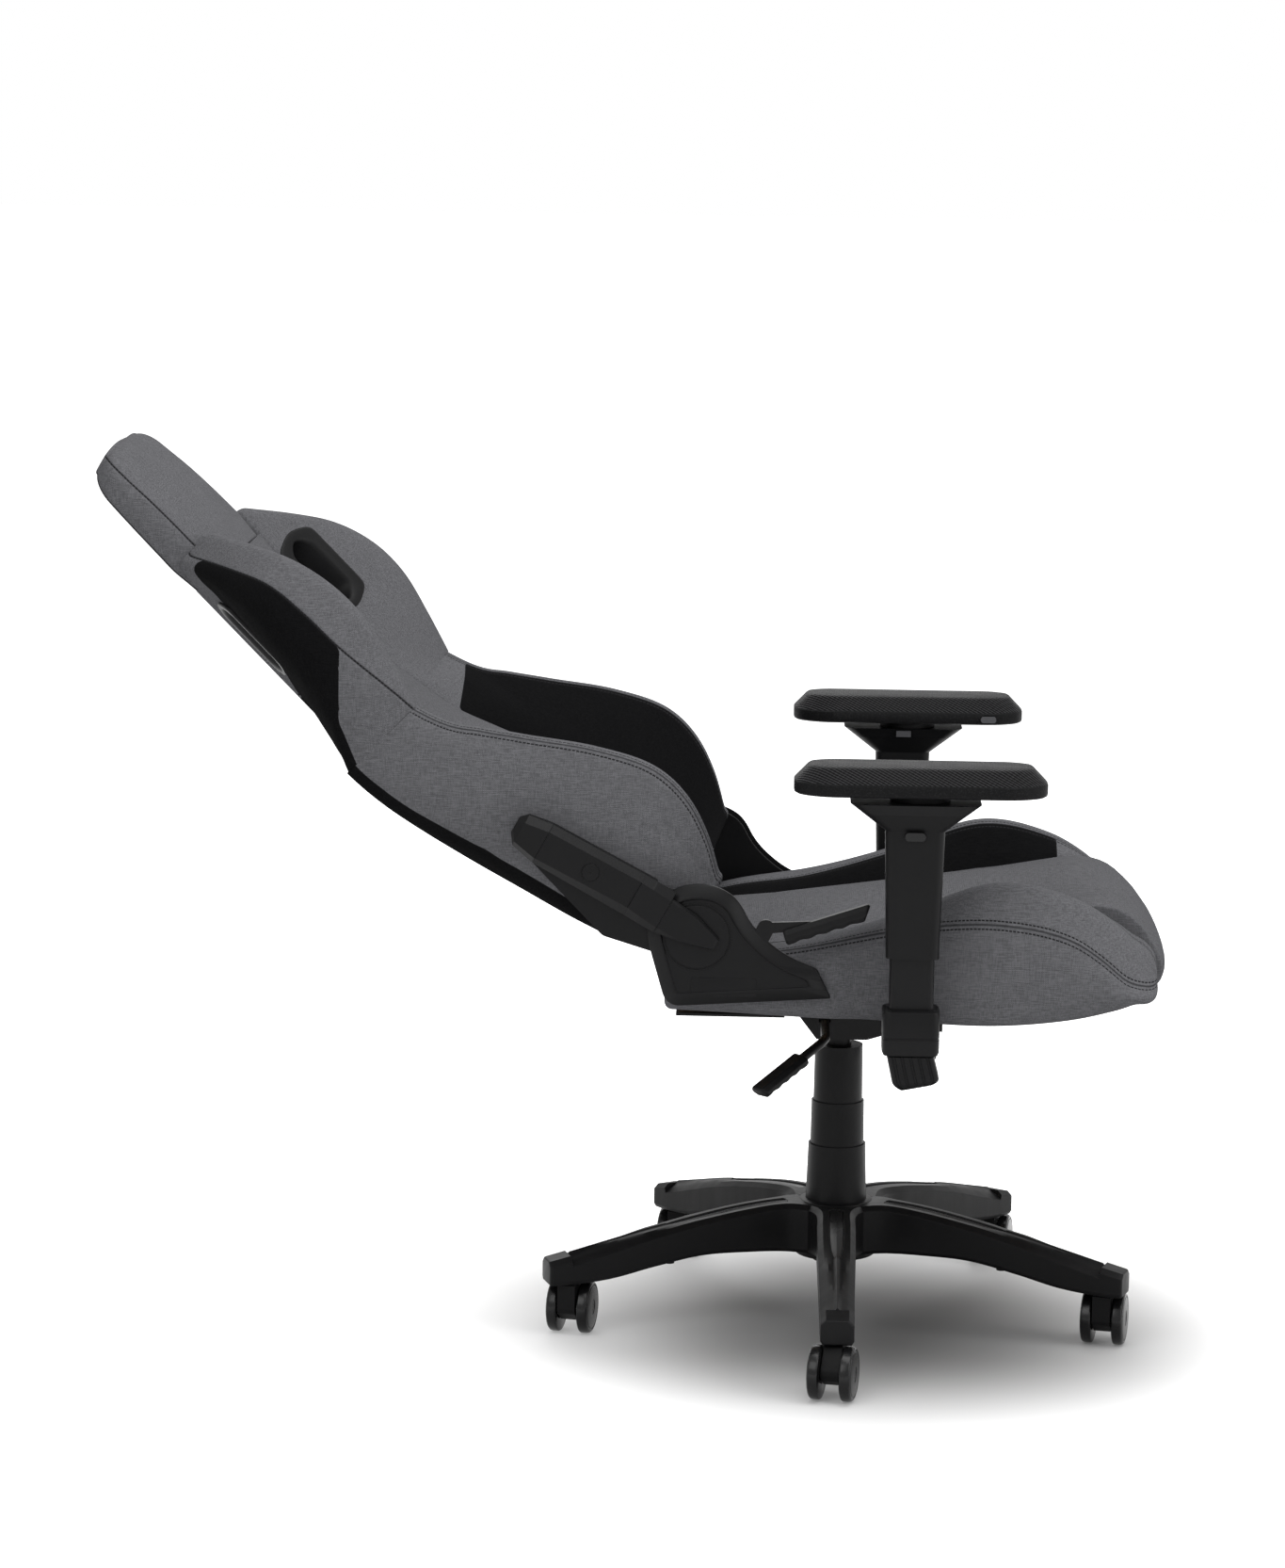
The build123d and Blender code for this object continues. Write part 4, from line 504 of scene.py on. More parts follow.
def twill_group():
    """Diagonal twill of the armrest skin: narrow slanted ridges from a saw wave across both plan axes, with
    a tone that follows their height as painted shade in the grooves and painted highlight on the crests.
    """
    group, given, put = new_group(
        "Diagonal Twill",
        [("Vector", "NodeSocketVector", (0, 0, 0)), ("Pitch", "NodeSocketFloat", 0.004)],
        [("Tone", "NodeSocketFloat"), ("Height", "NodeSocketFloat")])
    split = group.nodes.new("ShaderNodeSeparateXYZ")
    wire(group, given.outputs["Vector"], split.inputs[0])
    slant = maths(group, "ADD", split.outputs[0], maths(group, "MULTIPLY", split.outputs[1], 0.9))
    slant = maths(group, "ADD", slant, maths(group, "MULTIPLY", split.outputs[2], 1.3))
    wave = maths(group, "SINE", maths(group, "DIVIDE", maths(group, "MULTIPLY", slant, 2 * math.pi),
                                      given.outputs["Pitch"]))
    cross = maths(group, "SUBTRACT", split.outputs[0], split.outputs[1])
    weft = maths(group, "SINE", maths(group, "DIVIDE", maths(group, "MULTIPLY", cross, 2 * math.pi),
                                      given.outputs["Pitch"]))
    height = maths(group, "ADD", maths(group, "MULTIPLY", wave, 0.5), maths(group, "MULTIPLY", weft, 0.14))
    wire(group, height, put.inputs["Height"])
    # Painted shade and highlight: the tone follows the height, dark in the grooves and light on the crests.
    wire(group, ramp(group, height, -0.5, 0.6), put.inputs["Tone"])


# Materials


def begin(name, rough, metallic=0.0):
    """New material; returns its tree, shader and object coordinates."""
    material = bpy.data.materials.new(name)
    material.use_nodes = True
    tree = material.node_tree
    shader = tree.nodes["Principled BSDF"]
    shader.inputs["Roughness"].default_value = rough
    shader.inputs["Metallic"].default_value = metallic
    place = tree.nodes.new("ShaderNodeTexCoord").outputs["Object"]
    return tree, shader, place


def placed(tree, group, **given):
    """Place a node group, with sockets or numbers for its inputs."""
    node = tree.nodes.new("ShaderNodeGroup")
    node.node_tree = bpy.data.node_groups[group]
    for label, value in given.items():
        if isinstance(value, bpy.types.NodeSocket):
            wire(tree, value, node.inputs[label])
        else:
            node.inputs[label].default_value = value
    return node


def bumped(tree, shader, height, strength, distance):
    """Raise a shader's surface by a height."""
    node = tree.nodes.new("ShaderNodeBump")
    node.inputs["Strength"].default_value = strength
    node.inputs["Distance"].default_value = distance
    wire(tree, height, node.inputs["Height"])
    wire(tree, node.outputs[0], shader.inputs["Normal"])


def shade(colour, share):
    """Colour taken down or up by a share."""
    return tuple(c * share for c in colour)


def attribute(tree, name):
    """Number that the skin stores under a name."""
    node = tree.nodes.new("ShaderNodeAttribute")
    node.attribute_name = name
    return node.outputs["Fac"]


def cloth_material(name, seams, offset=0.0):
    """Upholstery: grey heathered weave and smooth black cloth by the skin's marks, with sewing, and painted
    shade darkening the seam grooves.
    """
    tree, shader, place = begin(name, 0.9)
    grey = tuple(colours().grey_cloth)
    black = tuple(colours().black_cloth)
    weave = placed(tree, "Heathered Weave", Vector=place, Yarn=sizes().yarn)
    tone = weave.outputs["Tone"]
    heather = mixed(tree, tone, shade(grey, 0.66), shade(grey, 1.32))
    plain = mixed(tree, tone, shade(black, 0.75), shade(black, 1.3))
    is_black = ramp(tree, attribute(tree, "dark"), -0.0004, 0.0004)
    cloth = mixed(tree, is_black, heather, plain)
    height = weave.outputs["Height"]
    if seams:
        sewing_node = placed(tree, "Seam And Stitches", Distance=attribute(tree, "seam"),
                             Run=attribute(tree, "run"), Offset=offset, Stitch=sizes().stitch)
        cloth = mixed(tree, sewing_node.outputs["Thread"], cloth, shade(grey, 0.16))
        # Painted shade: the colour darkens along each seam groove to stand in for the shade that falls in
        # it.
        painted_shade = maths(tree, "MULTIPLY", sewing_node.outputs["Seam"], 0.7)
        cloth = mixed(tree, painted_shade, cloth, shade(grey, 0.12))
        height = maths(tree, "ADD", maths(tree, "MULTIPLY", height, 0.22), sewing_node.outputs["Height"])
    wire(tree, cloth, shader.inputs["Base Color"])
    wire(tree, ramp(tree, tone, 0.0, 1.0, 0.95, 0.82), shader.inputs["Roughness"])
    shader.inputs["Sheen Weight"].default_value = 0.015
    shader.inputs["Sheen Roughness"].default_value = 0.5
    shader.inputs["Specular IOR Level"].default_value = 0.0
    bumped(tree, shader, height, 0.55, 0.0011)


def moulded_material(name, colour, rough, spread, grain=1400.0, bump=0.05, coat=0.0, gloss=0.1):
    """Moulded plastic or paint: grain, tone drift and roughness that varies over the surface."""
    tree, shader, place = begin(name, rough)
    skin = placed(tree, "Moulded Grain", Vector=place, Grain=grain)
    wire(tree, mixed(tree, skin.outputs["Tone"], shade(colour, 0.75), shade(colour, 1.7)),
         shader.inputs["Base Color"])
    wire(tree, ramp(tree, skin.outputs["Rough"], 0.2, 0.8, rough - spread, rough + spread),
         shader.inputs["Roughness"])
    shader.inputs["Specular IOR Level"].default_value = gloss
    shader.inputs["Coat Weight"].default_value = coat
    shader.inputs["Coat Roughness"].default_value = 0.12
    bumped(tree, shader, skin.outputs["Height"], bump, 0.0006)


def metal_material(name, colour, rough, stretch):
    """Bare metal: fine drawn lines along one direction and uneven polish."""
    tree, shader, place = begin(name, rough, 1.0)
    lines = noise(tree, stretched(tree, place, stretch), 1.0, 3.0, 0.6)
    wire(tree, mixed(tree, lines, shade(colour, 0.82), shade(colour, 1.1)), shader.inputs["Base Color"])
    wire(tree, ramp(tree, lines, 0.3, 0.7, rough - 0.06, rough + 0.1), shader.inputs["Roughness"])
    bumped(tree, shader, lines, 0.04, 0.0003)


def pad_material():
    """Armrest skin: diagonal twill on the top and bevel, with painted shade and highlight on its ridges,
    speckled moulded rim below it.
    """
    tree, shader, place = begin("Armrest Skin", 0.5)
    colour = tuple(colours().pad)
    twill = placed(tree, "Diagonal Twill", Vector=place, Pitch=0.0056)
    skin = placed(tree, "Moulded Grain", Vector=place, Grain=900.0)
    woven = ramp(tree, attribute(tree, "bevel"), 0.4, 0.6)
    # Painted shade and highlight: the twill's tone darkens its grooves and lightens its crests.
    painted_rib_shading = mixed(tree, twill.outputs["Tone"], shade(colour, 0.3), shade(colour, 3.4))
    spots = ramp(tree, skin.outputs["Height"], 0.5, 0.72)
    speckle = mixed(tree, spots, shade(colour, 0.8), shade(colour, 2.0))
    wire(tree, mixed(tree, woven, speckle, painted_rib_shading), shader.inputs["Base Color"])
    wire(tree, ramp(tree, skin.outputs["Rough"], 0.2, 0.8, 0.4, 0.56), shader.inputs["Roughness"])
    shader.inputs["Specular IOR Level"].default_value = 0.04
    height = maths(tree, "ADD", maths(tree, "MULTIPLY", twill.outputs["Height"], woven),
                   maths(tree, "MULTIPLY", skin.outputs["Height"], 0.3))
    bumped(tree, shader, height, 0.8, 0.0012)


def plywood_material():
    """Plywood: veneer streaks along the seat's length and thin glue lines through its thickness."""
    tree, shader, place = begin("Plywood", 0.6)
    wood = tuple(colours().plywood)
    streak = noise(tree, stretched(tree, place, (6.0, 160.0, 40.0)), 1.0, 5.0, 0.65)
    split = tree.nodes.new("ShaderNodeSeparateXYZ")
    wire(tree, place, split.inputs[0])
    ply = maths(tree, "SINE", maths(tree, "MULTIPLY", split.outputs[2], 3140.0))
    tone = maths(tree, "ADD", streak, maths(tree, "MULTIPLY", ply, 0.12))
    wire(tree, mixed(tree, tone, shade(wood, 0.6), shade(wood, 1.2)), shader.inputs["Base Color"])
    wire(tree, ramp(tree, streak, 0.2, 0.8, 0.5, 0.7), shader.inputs["Roughness"])
    bumped(tree, shader, streak, 0.15, 0.0006)


# Soft pieces


STATION = 9.0
PAN_HALF = 164.0
SEAT_BOTTOM = 396.0
CENTRE_HALF = 128.0
CUSHION_DROP = 9.0
CUSHION_DRAW = 8.0
CUSHION_CORNERS = (
    # x, height, share of the ends' draw, share of the sides' drop
    (-194.0, SEAT_BOTTOM, 0.0, 0.0), (-194.0, 460.0, -1.0, 1.0), (30.0, 480.0, 0.0, 1.0),
    (306.0, 528.0, 0.0, 1.0), (362.0, 446.0, 1.0, 0.4), (344.0, 416.0, 1.0, 0.0),
    (244.0, SEAT_BOTTOM, 0.0, 0.0),
)
CUSHION_RADII = (6, 30, 190, 52, 30, 14, 50)
BOLSTER_INNER = 166.0
BOLSTER_FOOT = 246.0
BOLSTER_BELLY = 257.0
BOLSTER_SEAM_OUT = 33.0
BOLSTER_CREST = (12.0, 18.0)
BOLSTER_RADII = (3, 12, 26, 6, 12, 10, 4)
BOLSTER_ROWS = np.array([
    # x, crest height, crest half-width, inner height, outer seam height, bottom
    (-182.0, 450.0, 212.0, 446.0, 444.0, 404.0),
    (-120.0, 466.0, 215.0, 456.0, 462.0, 402.0),
    (-40.0, 478.0, 217.0, 464.0, 476.0, 398.0),
    (60.0, 508.0, 218.0, 478.0, 496.0, 393.0),
    (165.0, 544.0, 219.0, 496.0, 503.0, 390.0),
    (245.0, 529.0, 217.0, 503.0, 486.0, 398.0),
    (280.0, 510.0, 215.0, 502.0, 463.0, 406.0),
    (305.0, 490.0, 212.0, 488.0, 442.0, 414.0),
    (320.0, 474.0, 208.0, 476.0, 438.0, 422.0),
])
BLACK_FRONT = 250.0
HINGE_SKIRT = 12.0
LUMBAR_ROWS = np.array([
    # distance up the back, rear height, crest height, crest half-width, outer half-width, inner height
    (-14.0, 50.0, 122.0, 226.0, 246.0, 84.0),
    (14.0, 12.0, 150.0, 230.0, 254.0, 84.0),
    (54.0, 4.0, 177.0, 236.0, 258.0, 92.0),
    (100.0, 2.0, 189.0, 240.0, 258.0, 98.0),
    (165.0, 2.0, 177.0, 242.0, 258.0, 96.0),
    (240.0, 2.0, 149.0, 241.0, 258.0, 88.0),
    (310.0, 2.0, 124.0, 239.0, 258.0, 80.0),
    (385.0, 2.0, 108.0, 238.0, 258.0, 74.0),
])
WING_ROWS = np.array([
    # distance up the back, rear inner, rear outer, crest height, crest half-width, outer half-width,
    # side seam half-width, side seam height, inner height
    (386.5, 2.0, 4.0, 108.0, 238.0, 258.0, 247.0, 104.0, 74.0),
    (434.0, 3.0, 24.0, 122.0, 242.0, 266.0, 261.0, 100.0, 64.0),
    (492.0, 5.0, 42.0, 135.0, 245.0, 268.0, 267.0, 94.0, 58.0),
    (540.0, 6.0, 46.0, 134.0, 240.0, 261.0, 260.0, 91.0, 55.0),
    (590.0, 6.0, 46.0, 119.0, 220.0, 244.0, 243.0, 82.0, 55.0),
    (630.0, 5.0, 34.0, 95.0, 188.0, 204.0, 203.0, 58.0, 58.0),
    (668.0, 4.0, 12.0, 68.0, 152.0, 158.0, 157.0, 30.0, 60.0),
])
WING_RADII = (3, 10, 20, 6, 9, 12, 4)
LUMBAR_RADII = (4, 10, 44, 9, 10, 5)
BACK_PAD_FRONT = np.array([
    # distance up the back, front height
    (12.0, 90.0), (54.0, 98.0), (100.0, 104.0), (165.0, 102.0), (240.0, 94.0), (310.0, 86.0),
    (385.0, 80.0), (434.0, 71.0), (492.0, 65.0), (540.0, 62.0), (590.0, 62.0), (640.0, 66.0),
])
BACK_PAD_RADII = (4, 4, 5, 52, 52, 5)
BACK_PAD_EDGE = 6.5
HEAD_HALF = np.array([
    # distance up the back, half-width
    (640.0, 131.0), (652.0, 138.0), (668.0, 150.0), (690.0, 149.0), (730.0, 146.0), (784.0, 142.0),
    (812.0, 141.0),
])
HEAD_FRONT = np.array([
    # distance up the back, front height
    (640.0, 67.0), (672.0, 67.0), (740.0, 64.0), (776.0, 60.0), (812.0, 57.0),
])
HEAD_REAR = np.array([
    # distance up the back, rear height
    (640.0, 2.0), (672.0, 2.0), (760.0, 2.0), (812.0, 3.0),
])
HEAD_RADII = (7, 7, 15, 60, 60, 15)
HEAD_ROUND_FROM = 782.0
HEAD_ROUND = 31.0
HEAD_SEAM = 42.0
HEAD_LEAN = 0.28
LUMBAR_BLACK_X = -440.0
SIDE_BLACK_FROM = 396.0
SIDE_BLACK_SLANT = 0.99
REAR_STRIP = 13.0
TONGUE_TIP = 478.0
TONGUE_W = 40.0
TONGUE_RISE = 30.0
SLOT_S = 558.0
SLOT_A = 157.0
SLOT_HALF_W = 18.0
SLOT_HALF_L = 52.0
SLOT_SHOULDER = 14.0
SLOT_REAR = (7.0, 0.32)
SLOT_FRONT = (54.0, 0.79)
CORNER_POINTS = 5
SIDE_POINTS = 10


def column(corner):
    """Column of a skin that runs along the given corner of its sections."""
    return corner * (CORNER_POINTS + SIDE_POINTS) + CORNER_POINTS // 2


def stacked(*pairs):
    """Corner points of sections from pairs of rows, one pair for each corner."""
    rows = np.broadcast_arrays(*[value for pair in pairs for value in pair])
    return np.stack([np.stack(rows[k:k + 2], axis=1) for k in range(0, len(rows), 2)], axis=1)


def soft_piece(name, rings, seams, dark, held=None):
    """Sewn, filled skin: rings joined to a closed skin, seams held, panels swollen between them."""
    obj = tube(name, rings)
    hold = sewn(obj, rings, seams, dark) < SEAM_HOLD
    ends = np.zeros(rings.shape[:2], bool)
    ends[:END_ROWS + 1] = True
    ends[-END_ROWS - 1:] = True
    hold |= ends.ravel()
    if held is not None:
        hold |= held.ravel()
    plump(obj, hold, sizes().swell)
    return obj


def seat_cushion():
    """Centre cushion: the fore-and-aft profile is carried across the seat; its height falls with the
    square of the distance from the middle and its ends draw in with the fourth power."""
    share = np.linspace(-1, 1, 45)
    drop = CUSHION_DROP * share**2
    draw = CUSHION_DRAW * share**4
    corners = stacked(*[(x - pull * draw, z - fall * drop) for x, z, pull, fall in CUSHION_CORNERS])
    flat = rounded_rings(corners, CUSHION_RADII, CORNER_POINTS, SIDE_POINTS + 8)
    across = np.repeat((share * (PAN_HALF - 2.0))[:, None], flat.shape[1], axis=1)
    rings = ended(np.stack([flat[:, :, 0], across, flat[:, :, 1]], axis=2), (2.0, 2.0), (4.0, 4.0))
    obj = soft_piece("Seat_Cushion", rings, [], None, rings[:, :, 2] < SEAT_BOTTOM + 12.0)
    return dressed(finer(obj), "Grey Cloth", "seat", ["seat_cushion"])


def seat_bolster(label, side):
    """Side bolster: seven-cornered sections carried from the seat's rear to its front."""
    x = np.arange(BOLSTER_ROWS[0, 0], BOLSTER_ROWS[-1, 0] + 1, STATION)
    crest, crest_y, inner_z, seam, low = smooth(x, BOLSTER_ROWS[:, 0], BOLSTER_ROWS[:, 1:]).T
    belly = low + 0.5 * (seam - low)
    skirt = np.clip(0.5 - x / 40.0, 0.0, 1.0)
    corners = stacked(
        (BOLSTER_INNER, low), (BOLSTER_FOOT + HINGE_SKIRT * skirt, low),
        (BOLSTER_BELLY + HINGE_SKIRT * skirt, belly), (crest_y + BOLSTER_SEAM_OUT, seam),
        (crest_y + BOLSTER_CREST[0], crest), (crest_y - BOLSTER_CREST[1], crest - 2.0),
        (BOLSTER_INNER, inner_z))
    flat = rounded_rings(corners, BOLSTER_RADII, CORNER_POINTS, SIDE_POINTS)
    rings = ended(seat_rings(x, flat, side), (10.0, 26.0), (14.0, 26.0))
    under = rings[:, :, 2] < 398.0
    dark = np.minimum(between(rings, column(5), column(6)), BLACK_FRONT - rings[:, :, 0])
    obj = soft_piece(f"Seat_Bolster_{label}", rings, [column(3), column(5)], dark, under)
    return dressed(finer(obj), "Sewn Cloth", "seat", ())


def lumbar_bolster(label, side):
    """Deep lower-back bolster: six-cornered sections carried up the back, black inside and behind."""
    s = np.linspace(LUMBAR_ROWS[0, 0], LUMBAR_ROWS[-1, 0], 46)
    rear, crest, crest_w, outer, inner_b = smooth(s, LUMBAR_ROWS[:, 0], LUMBAR_ROWS[:, 1:]).T
    inner = CENTRE_HALF + 1.5
    corners = stacked(
        (inner, rear), (outer - 8.0, rear), (outer - 1.0, rear + 0.55 * (crest - rear)),
        (crest_w + 9.0, crest - 3.0), (crest_w - 17.0, crest - 2.0), (inner, inner_b))
    flat = rounded_rings(corners, LUMBAR_RADII, CORNER_POINTS, SIDE_POINTS)
    rings = ended(back_rings(s, flat, side), (8.0, 1.4), (12.0, 0.3))
    inside = np.minimum(between(rings, column(4), column(5)), rings[:, :, 0] - LUMBAR_BLACK_X)
    dark = np.maximum(inside, between(rings, column(0), column(1), REAR_STRIP))
    obj = soft_piece(f"Lumbar_Bolster_{label}", rings, [column(3), column(4)], dark)
    return dressed(finer(obj), "Sewn Cloth", "backrest", ())


def back_pad():
    """Centre pad of the back: crowned sections with drawn-in sides, carried up the back's line."""
    s = np.arange(14.0, 640.0, STATION)
    front = smooth(s, BACK_PAD_FRONT[:, 0], BACK_PAD_FRONT[:, 1])
    half = CENTRE_HALF - 0.8
    wide = 0.45 * half
    corners = stacked(
        (-half, 36.0 + 0 * s), (half, 36.0), (half, front - BACK_PAD_EDGE), (wide, front), (-wide, front),
        (-half, front - BACK_PAD_EDGE))
    flat = rounded_rings(corners, BACK_PAD_RADII, CORNER_POINTS, SIDE_POINTS)
    rings = ended(back_rings(s, flat, -1.0), (2.0, 2.0), (4.0, 4.0))
    obj = soft_piece("Back_Pad", rings, [column(2), column(5)], None)
    return dressed(finer(obj), "Grey Cloth", "backrest", ["back_pad"])


def head_pad():
    """Headrest: a thick pad whose width swells at its foot and rounds off at its top, with a seam round
    its front edge and one round its rear edge."""
    end = HEAD_ROUND_FROM + 30 * np.sin(np.linspace(0.0, 1.5, 12))
    s = np.concatenate([np.arange(639.0, 780.0, STATION), end])
    corner = np.clip((s - HEAD_ROUND_FROM) / HEAD_ROUND, 0.0, 1.0)
    half, front, rear = (smooth(s, rows[:, 0], rows[:, 1]) for rows in (HEAD_HALF, HEAD_FRONT, HEAD_REAR))
    rounding = 1.0 - np.sqrt(1.0 - corner**2)
    half -= 28.0 * rounding
    front -= 12.0 * rounding
    rear += 10.0 * rounding
    lean = HEAD_LEAN * np.clip((s - 700.0) / 80.0, 0.0, 1.0)
    seam = rear + 0.62 * (front - rear)
    corners = stacked(
        (4.0 - half, rear), (half - 4.0, rear), (half, seam), (half * 0.6, front), (-half * 0.6, front),
        (-half, seam))
    flat = rounded_rings(corners, HEAD_RADII, CORNER_POINTS, SIDE_POINTS)
    leant = s[:, None] + lean[:, None] * (flat[:, :, 1] - HEAD_SEAM)
    x, z = on_back(leant, flat[:, :, 1])
    rings = ended(np.stack([x, -flat[:, :, 0], z], axis=2), (2.0, 4.0), (4.0, 12.0))
    seams = [column(k) for k in (0, 1, 2, 5)]
    obj = soft_piece("Head_Pad", rings, seams, None)
    return dressed(finer(obj), "Single Seam Cloth", "backrest", ["headrest_pad"])


def shoulder_wing(label, side):
    """Shoulder wing: seven-cornered sections that sweep forward and taper to the head, black at the side and
    behind but for a grey tongue beside the head, with the strap slot cut through."""
    s = np.linspace(WING_ROWS[0, 0], WING_ROWS[-1, 0], 46)
    known = smooth(s, WING_ROWS[:, 0], WING_ROWS[:, 1:])
    rear_in, rear_out, crest, crest_w, outer, seam_w, seam, inner_b = known.T
    inner = CENTRE_HALF + 1.5
    corners = stacked(
        (inner, rear_in + 1.0), (outer - 9.0, rear_out), (outer - 1.0, 0.5 * (rear_out + seam)),
        (seam_w - 1.0, seam), (crest_w + 6.0, crest - 2.0), (crest_w - 14.0, crest - 3.0), (inner, inner_b))
    flat = rounded_rings(corners, WING_RADII, CORNER_POINTS, SIDE_POINTS)
    rings = ended(back_rings(s, flat, side), (0.4, 8.0), (0.3, 9.0))
    along = np.pad(s, END_ROWS, mode="edge")[:, None]
    wide = np.abs(rings[:, :, 1])
    tongue = CENTRE_HALF + TONGUE_W * np.clip((along - TONGUE_TIP) / TONGUE_RISE, -0.2, 1)
    height = np.pad(flat[:, :, 1], ((END_ROWS, END_ROWS), (0, 0)), mode="edge")
    side_black = along - SIDE_BLACK_FROM - SIDE_BLACK_SLANT * height
    dark = np.minimum(between(rings, column(0), column(3)), side_black)
    dark = np.maximum(dark, between(rings, column(0), column(1), REAR_STRIP))
    dark = np.minimum(dark, wide - tongue)
    near_slot = (np.abs(wide - SLOT_A) < 32.0) & (np.abs(along - SLOT_S) < 68.0)
    obj = soft_piece(f"Shoulder_Wing_{label}", rings, [column(3)], dark, near_slot)
    pierced(finer(obj), tube("slot_cutter", slot_rings(side, [(-0.8, 0.0, 1.0), (1.8, 0.0, 1.0)])))
    return dressed(obj, "Single Seam Cloth", "backrest", ())


def slot_outline(grow):
    """Six-sided strap slot outline, grown all round, with softened corners."""
    half_w = SLOT_HALF_W + grow
    half_l = SLOT_HALF_L + grow
    shoulder = half_l - SLOT_SHOULDER
    corners = np.array([[(-half_w, -shoulder), (0, -half_l), (half_w, -shoulder),
                         (half_w, shoulder), (0, half_l), (-half_w, shoulder)]], float)
    return rounded_rings(corners, [8, 14, 8, 8, 14, 8], 6, 4)[0]


def slot_rings(side, rows):
    """Strap slot outline at rows of (share of the way from the wing's rear face to its front face,
    further height, growth); both faces slope outwards in straight lines."""
    rings = []
    for share, more, grow in rows:
        outline_points = slot_outline(grow)
        wide = SLOT_A + outline_points[:, 0]
        rear = SLOT_REAR[0] + SLOT_REAR[1] * (wide - CENTRE_HALF)
        front = SLOT_FRONT[0] + SLOT_FRONT[1] * (wide - CENTRE_HALF)
        x, z = on_back(SLOT_S + outline_points[:, 1], rear + share * (front - rear) + more)
        rings.append(np.stack([x, side * wide, z], axis=1))
    return np.array(rings)


def pierced(obj, cutter):
    """Cut one closed mesh out of another and keep the result on the first."""
    cutting = obj.modifiers.new("Cut", "BOOLEAN")
    cutting.operation = "DIFFERENCE"
    cutting.solver = "EXACT"
    cutting.object = cutter
    bpy.context.view_layer.update()
    graph = bpy.context.evaluated_depsgraph_get()
    mesh = bpy.data.meshes.new_from_object(obj.evaluated_get(graph))
    obj.modifiers.clear()
    obj.data = mesh
    bpy.data.objects.remove(cutter)
    return obj


BEZEL_ROWS = (
    # share of the way through the wing, further height, growth of the slot's outline
    (0.0, 3.0, 5.0), (0.0, -1.0, 6.0), (0.0, -2.0, 4.5), (0.0, -2.0, -2.0), (0.0, 1.0, -4.5),
    (0.3, 0.0, -5.0), (0.7, 0.0, -5.0), (1.0, 0.0, -4.5), (1.0, 2.0, -3.0), (1.0, 2.4, 7.0),
    (1.0, 1.6, 9.0), (1.0, -3.0, 8.0), (0.85, 0.0, 0.0), (0.15, 0.0, 0.0),
)


def slot_bezel(label, side):
    """Bezel of a strap slot: one closed wall round the slot, flared to a rounded lip on each face."""
    rings = slot_rings(side, BEZEL_ROWS)
    obj = wrapped(f"Slot_Bezel_{label}", rings)
    return dressed(finer(obj), "Satin Nylon", "backrest", ())


def rear_panel():
    """Rear of the back: a shallow upholstered tray whose section is carried up the back's line, black
    below and grey above, where the colours meet in a point at the middle."""
    s = np.arange(16.0, 641.0, STATION)
    half = CENTRE_HALF - 0.8
    corners = stacked((-half, 1.0 + 0 * s), (0.0, 0.0), (half, 1.0), (half, 33.0), (-half, 33.0))
    flat = rounded_rings(corners, [12, 60, 12, 4, 4], CORNER_POINTS, SIDE_POINTS + 6)
    rings = ended(back_rings(s, flat, -1.0), (2.0, 2.0), (3.0, 3.0))
    obj = tube("Rear_Panel", rings)
    along = np.pad(s, END_ROWS, mode="edge")[:, None]
    gap = (TONGUE_TIP - 0.5 * (CENTRE_HALF - np.abs(rings[:, :, 1])) - along) * MM
    give(obj, "dark", gap)
    give(obj, "seam", np.abs(gap))
    give(obj, "run", np.abs(rings[:, :, 1]) * MM)
    return dressed(finer(obj), "Sewn Cloth", "backrest", ["back_rear_panel"])


# Rigid trim


def wrapped(name, rings):
    """Skin in millimetres, closed round its rings and from the last ring back to the first."""
    rows, columns = rings.shape[:2]
    faces = quads(rows + 1, columns, True) % (rows * columns)
    return surface(name, rings.reshape(-1, 3) * MM, faces)


def turned(name, profile, place, axis, count=72):
    """Ring solid: a closed profile of (distance along the axis, radius) turned about the axis."""
    axis = np.asarray(axis, float) / np.linalg.norm(axis)
    first = np.cross(axis, (0.0, 0.0, 1.0) if abs(axis[2]) < 0.9 else (1.0, 0.0, 0.0))
    first /= np.linalg.norm(first)
    second = np.cross(axis, first)
    angle = np.linspace(0, 2 * np.pi, count, endpoint=False)[:, None]
    spoke = np.cos(angle) * first + np.sin(angle) * second
    profile = np.asarray(profile, float)
    rings = np.asarray(place, float) + profile[:, :1, None] * axis + profile[:, 1:, None] * spoke
    return wrapped(name, rings)


def joined(name, parts):
    """One object of several closed skins."""
    whole = bmesh.new()
    for part in parts:
        whole.from_mesh(part.data)
        bpy.data.objects.remove(part)
    mesh = bpy.data.meshes.new(name)
    whole.to_mesh(mesh)
    whole.free()
    obj = bpy.data.objects.new(name, mesh)
    bpy.context.scene.collection.objects.link(obj)
    return obj


def edged(obj, width=0.0006, angle=26.0):
    """Narrow two-step bevel along every sharp edge, so that edges catch the light."""
    obj.data.set_sharp_from_angle(angle=math.radians(angle))
    bevel = obj.modifiers.new("Edges", "BEVEL")
    bevel.width = width
    bevel.segments = 2
    bevel.limit_method = "ANGLE"
    bevel.angle_limit = math.radians(angle)
    return obj


def outline(corners, radii, count):
    """Closed flat outline with rounded corners, as points at an even spacing."""
    ring = rounded_rings(np.array([corners], float), radii, 9, 8)[0]
    whole = np.vstack([ring, ring[:1]])
    along = np.concatenate([[0], np.cumsum(np.linalg.norm(np.diff(whole, axis=0), axis=1))])
    at = np.linspace(0, along[-1], count, endpoint=False)
    return np.stack([np.interp(at, along, whole[:, k]) for k in range(2)], axis=1)


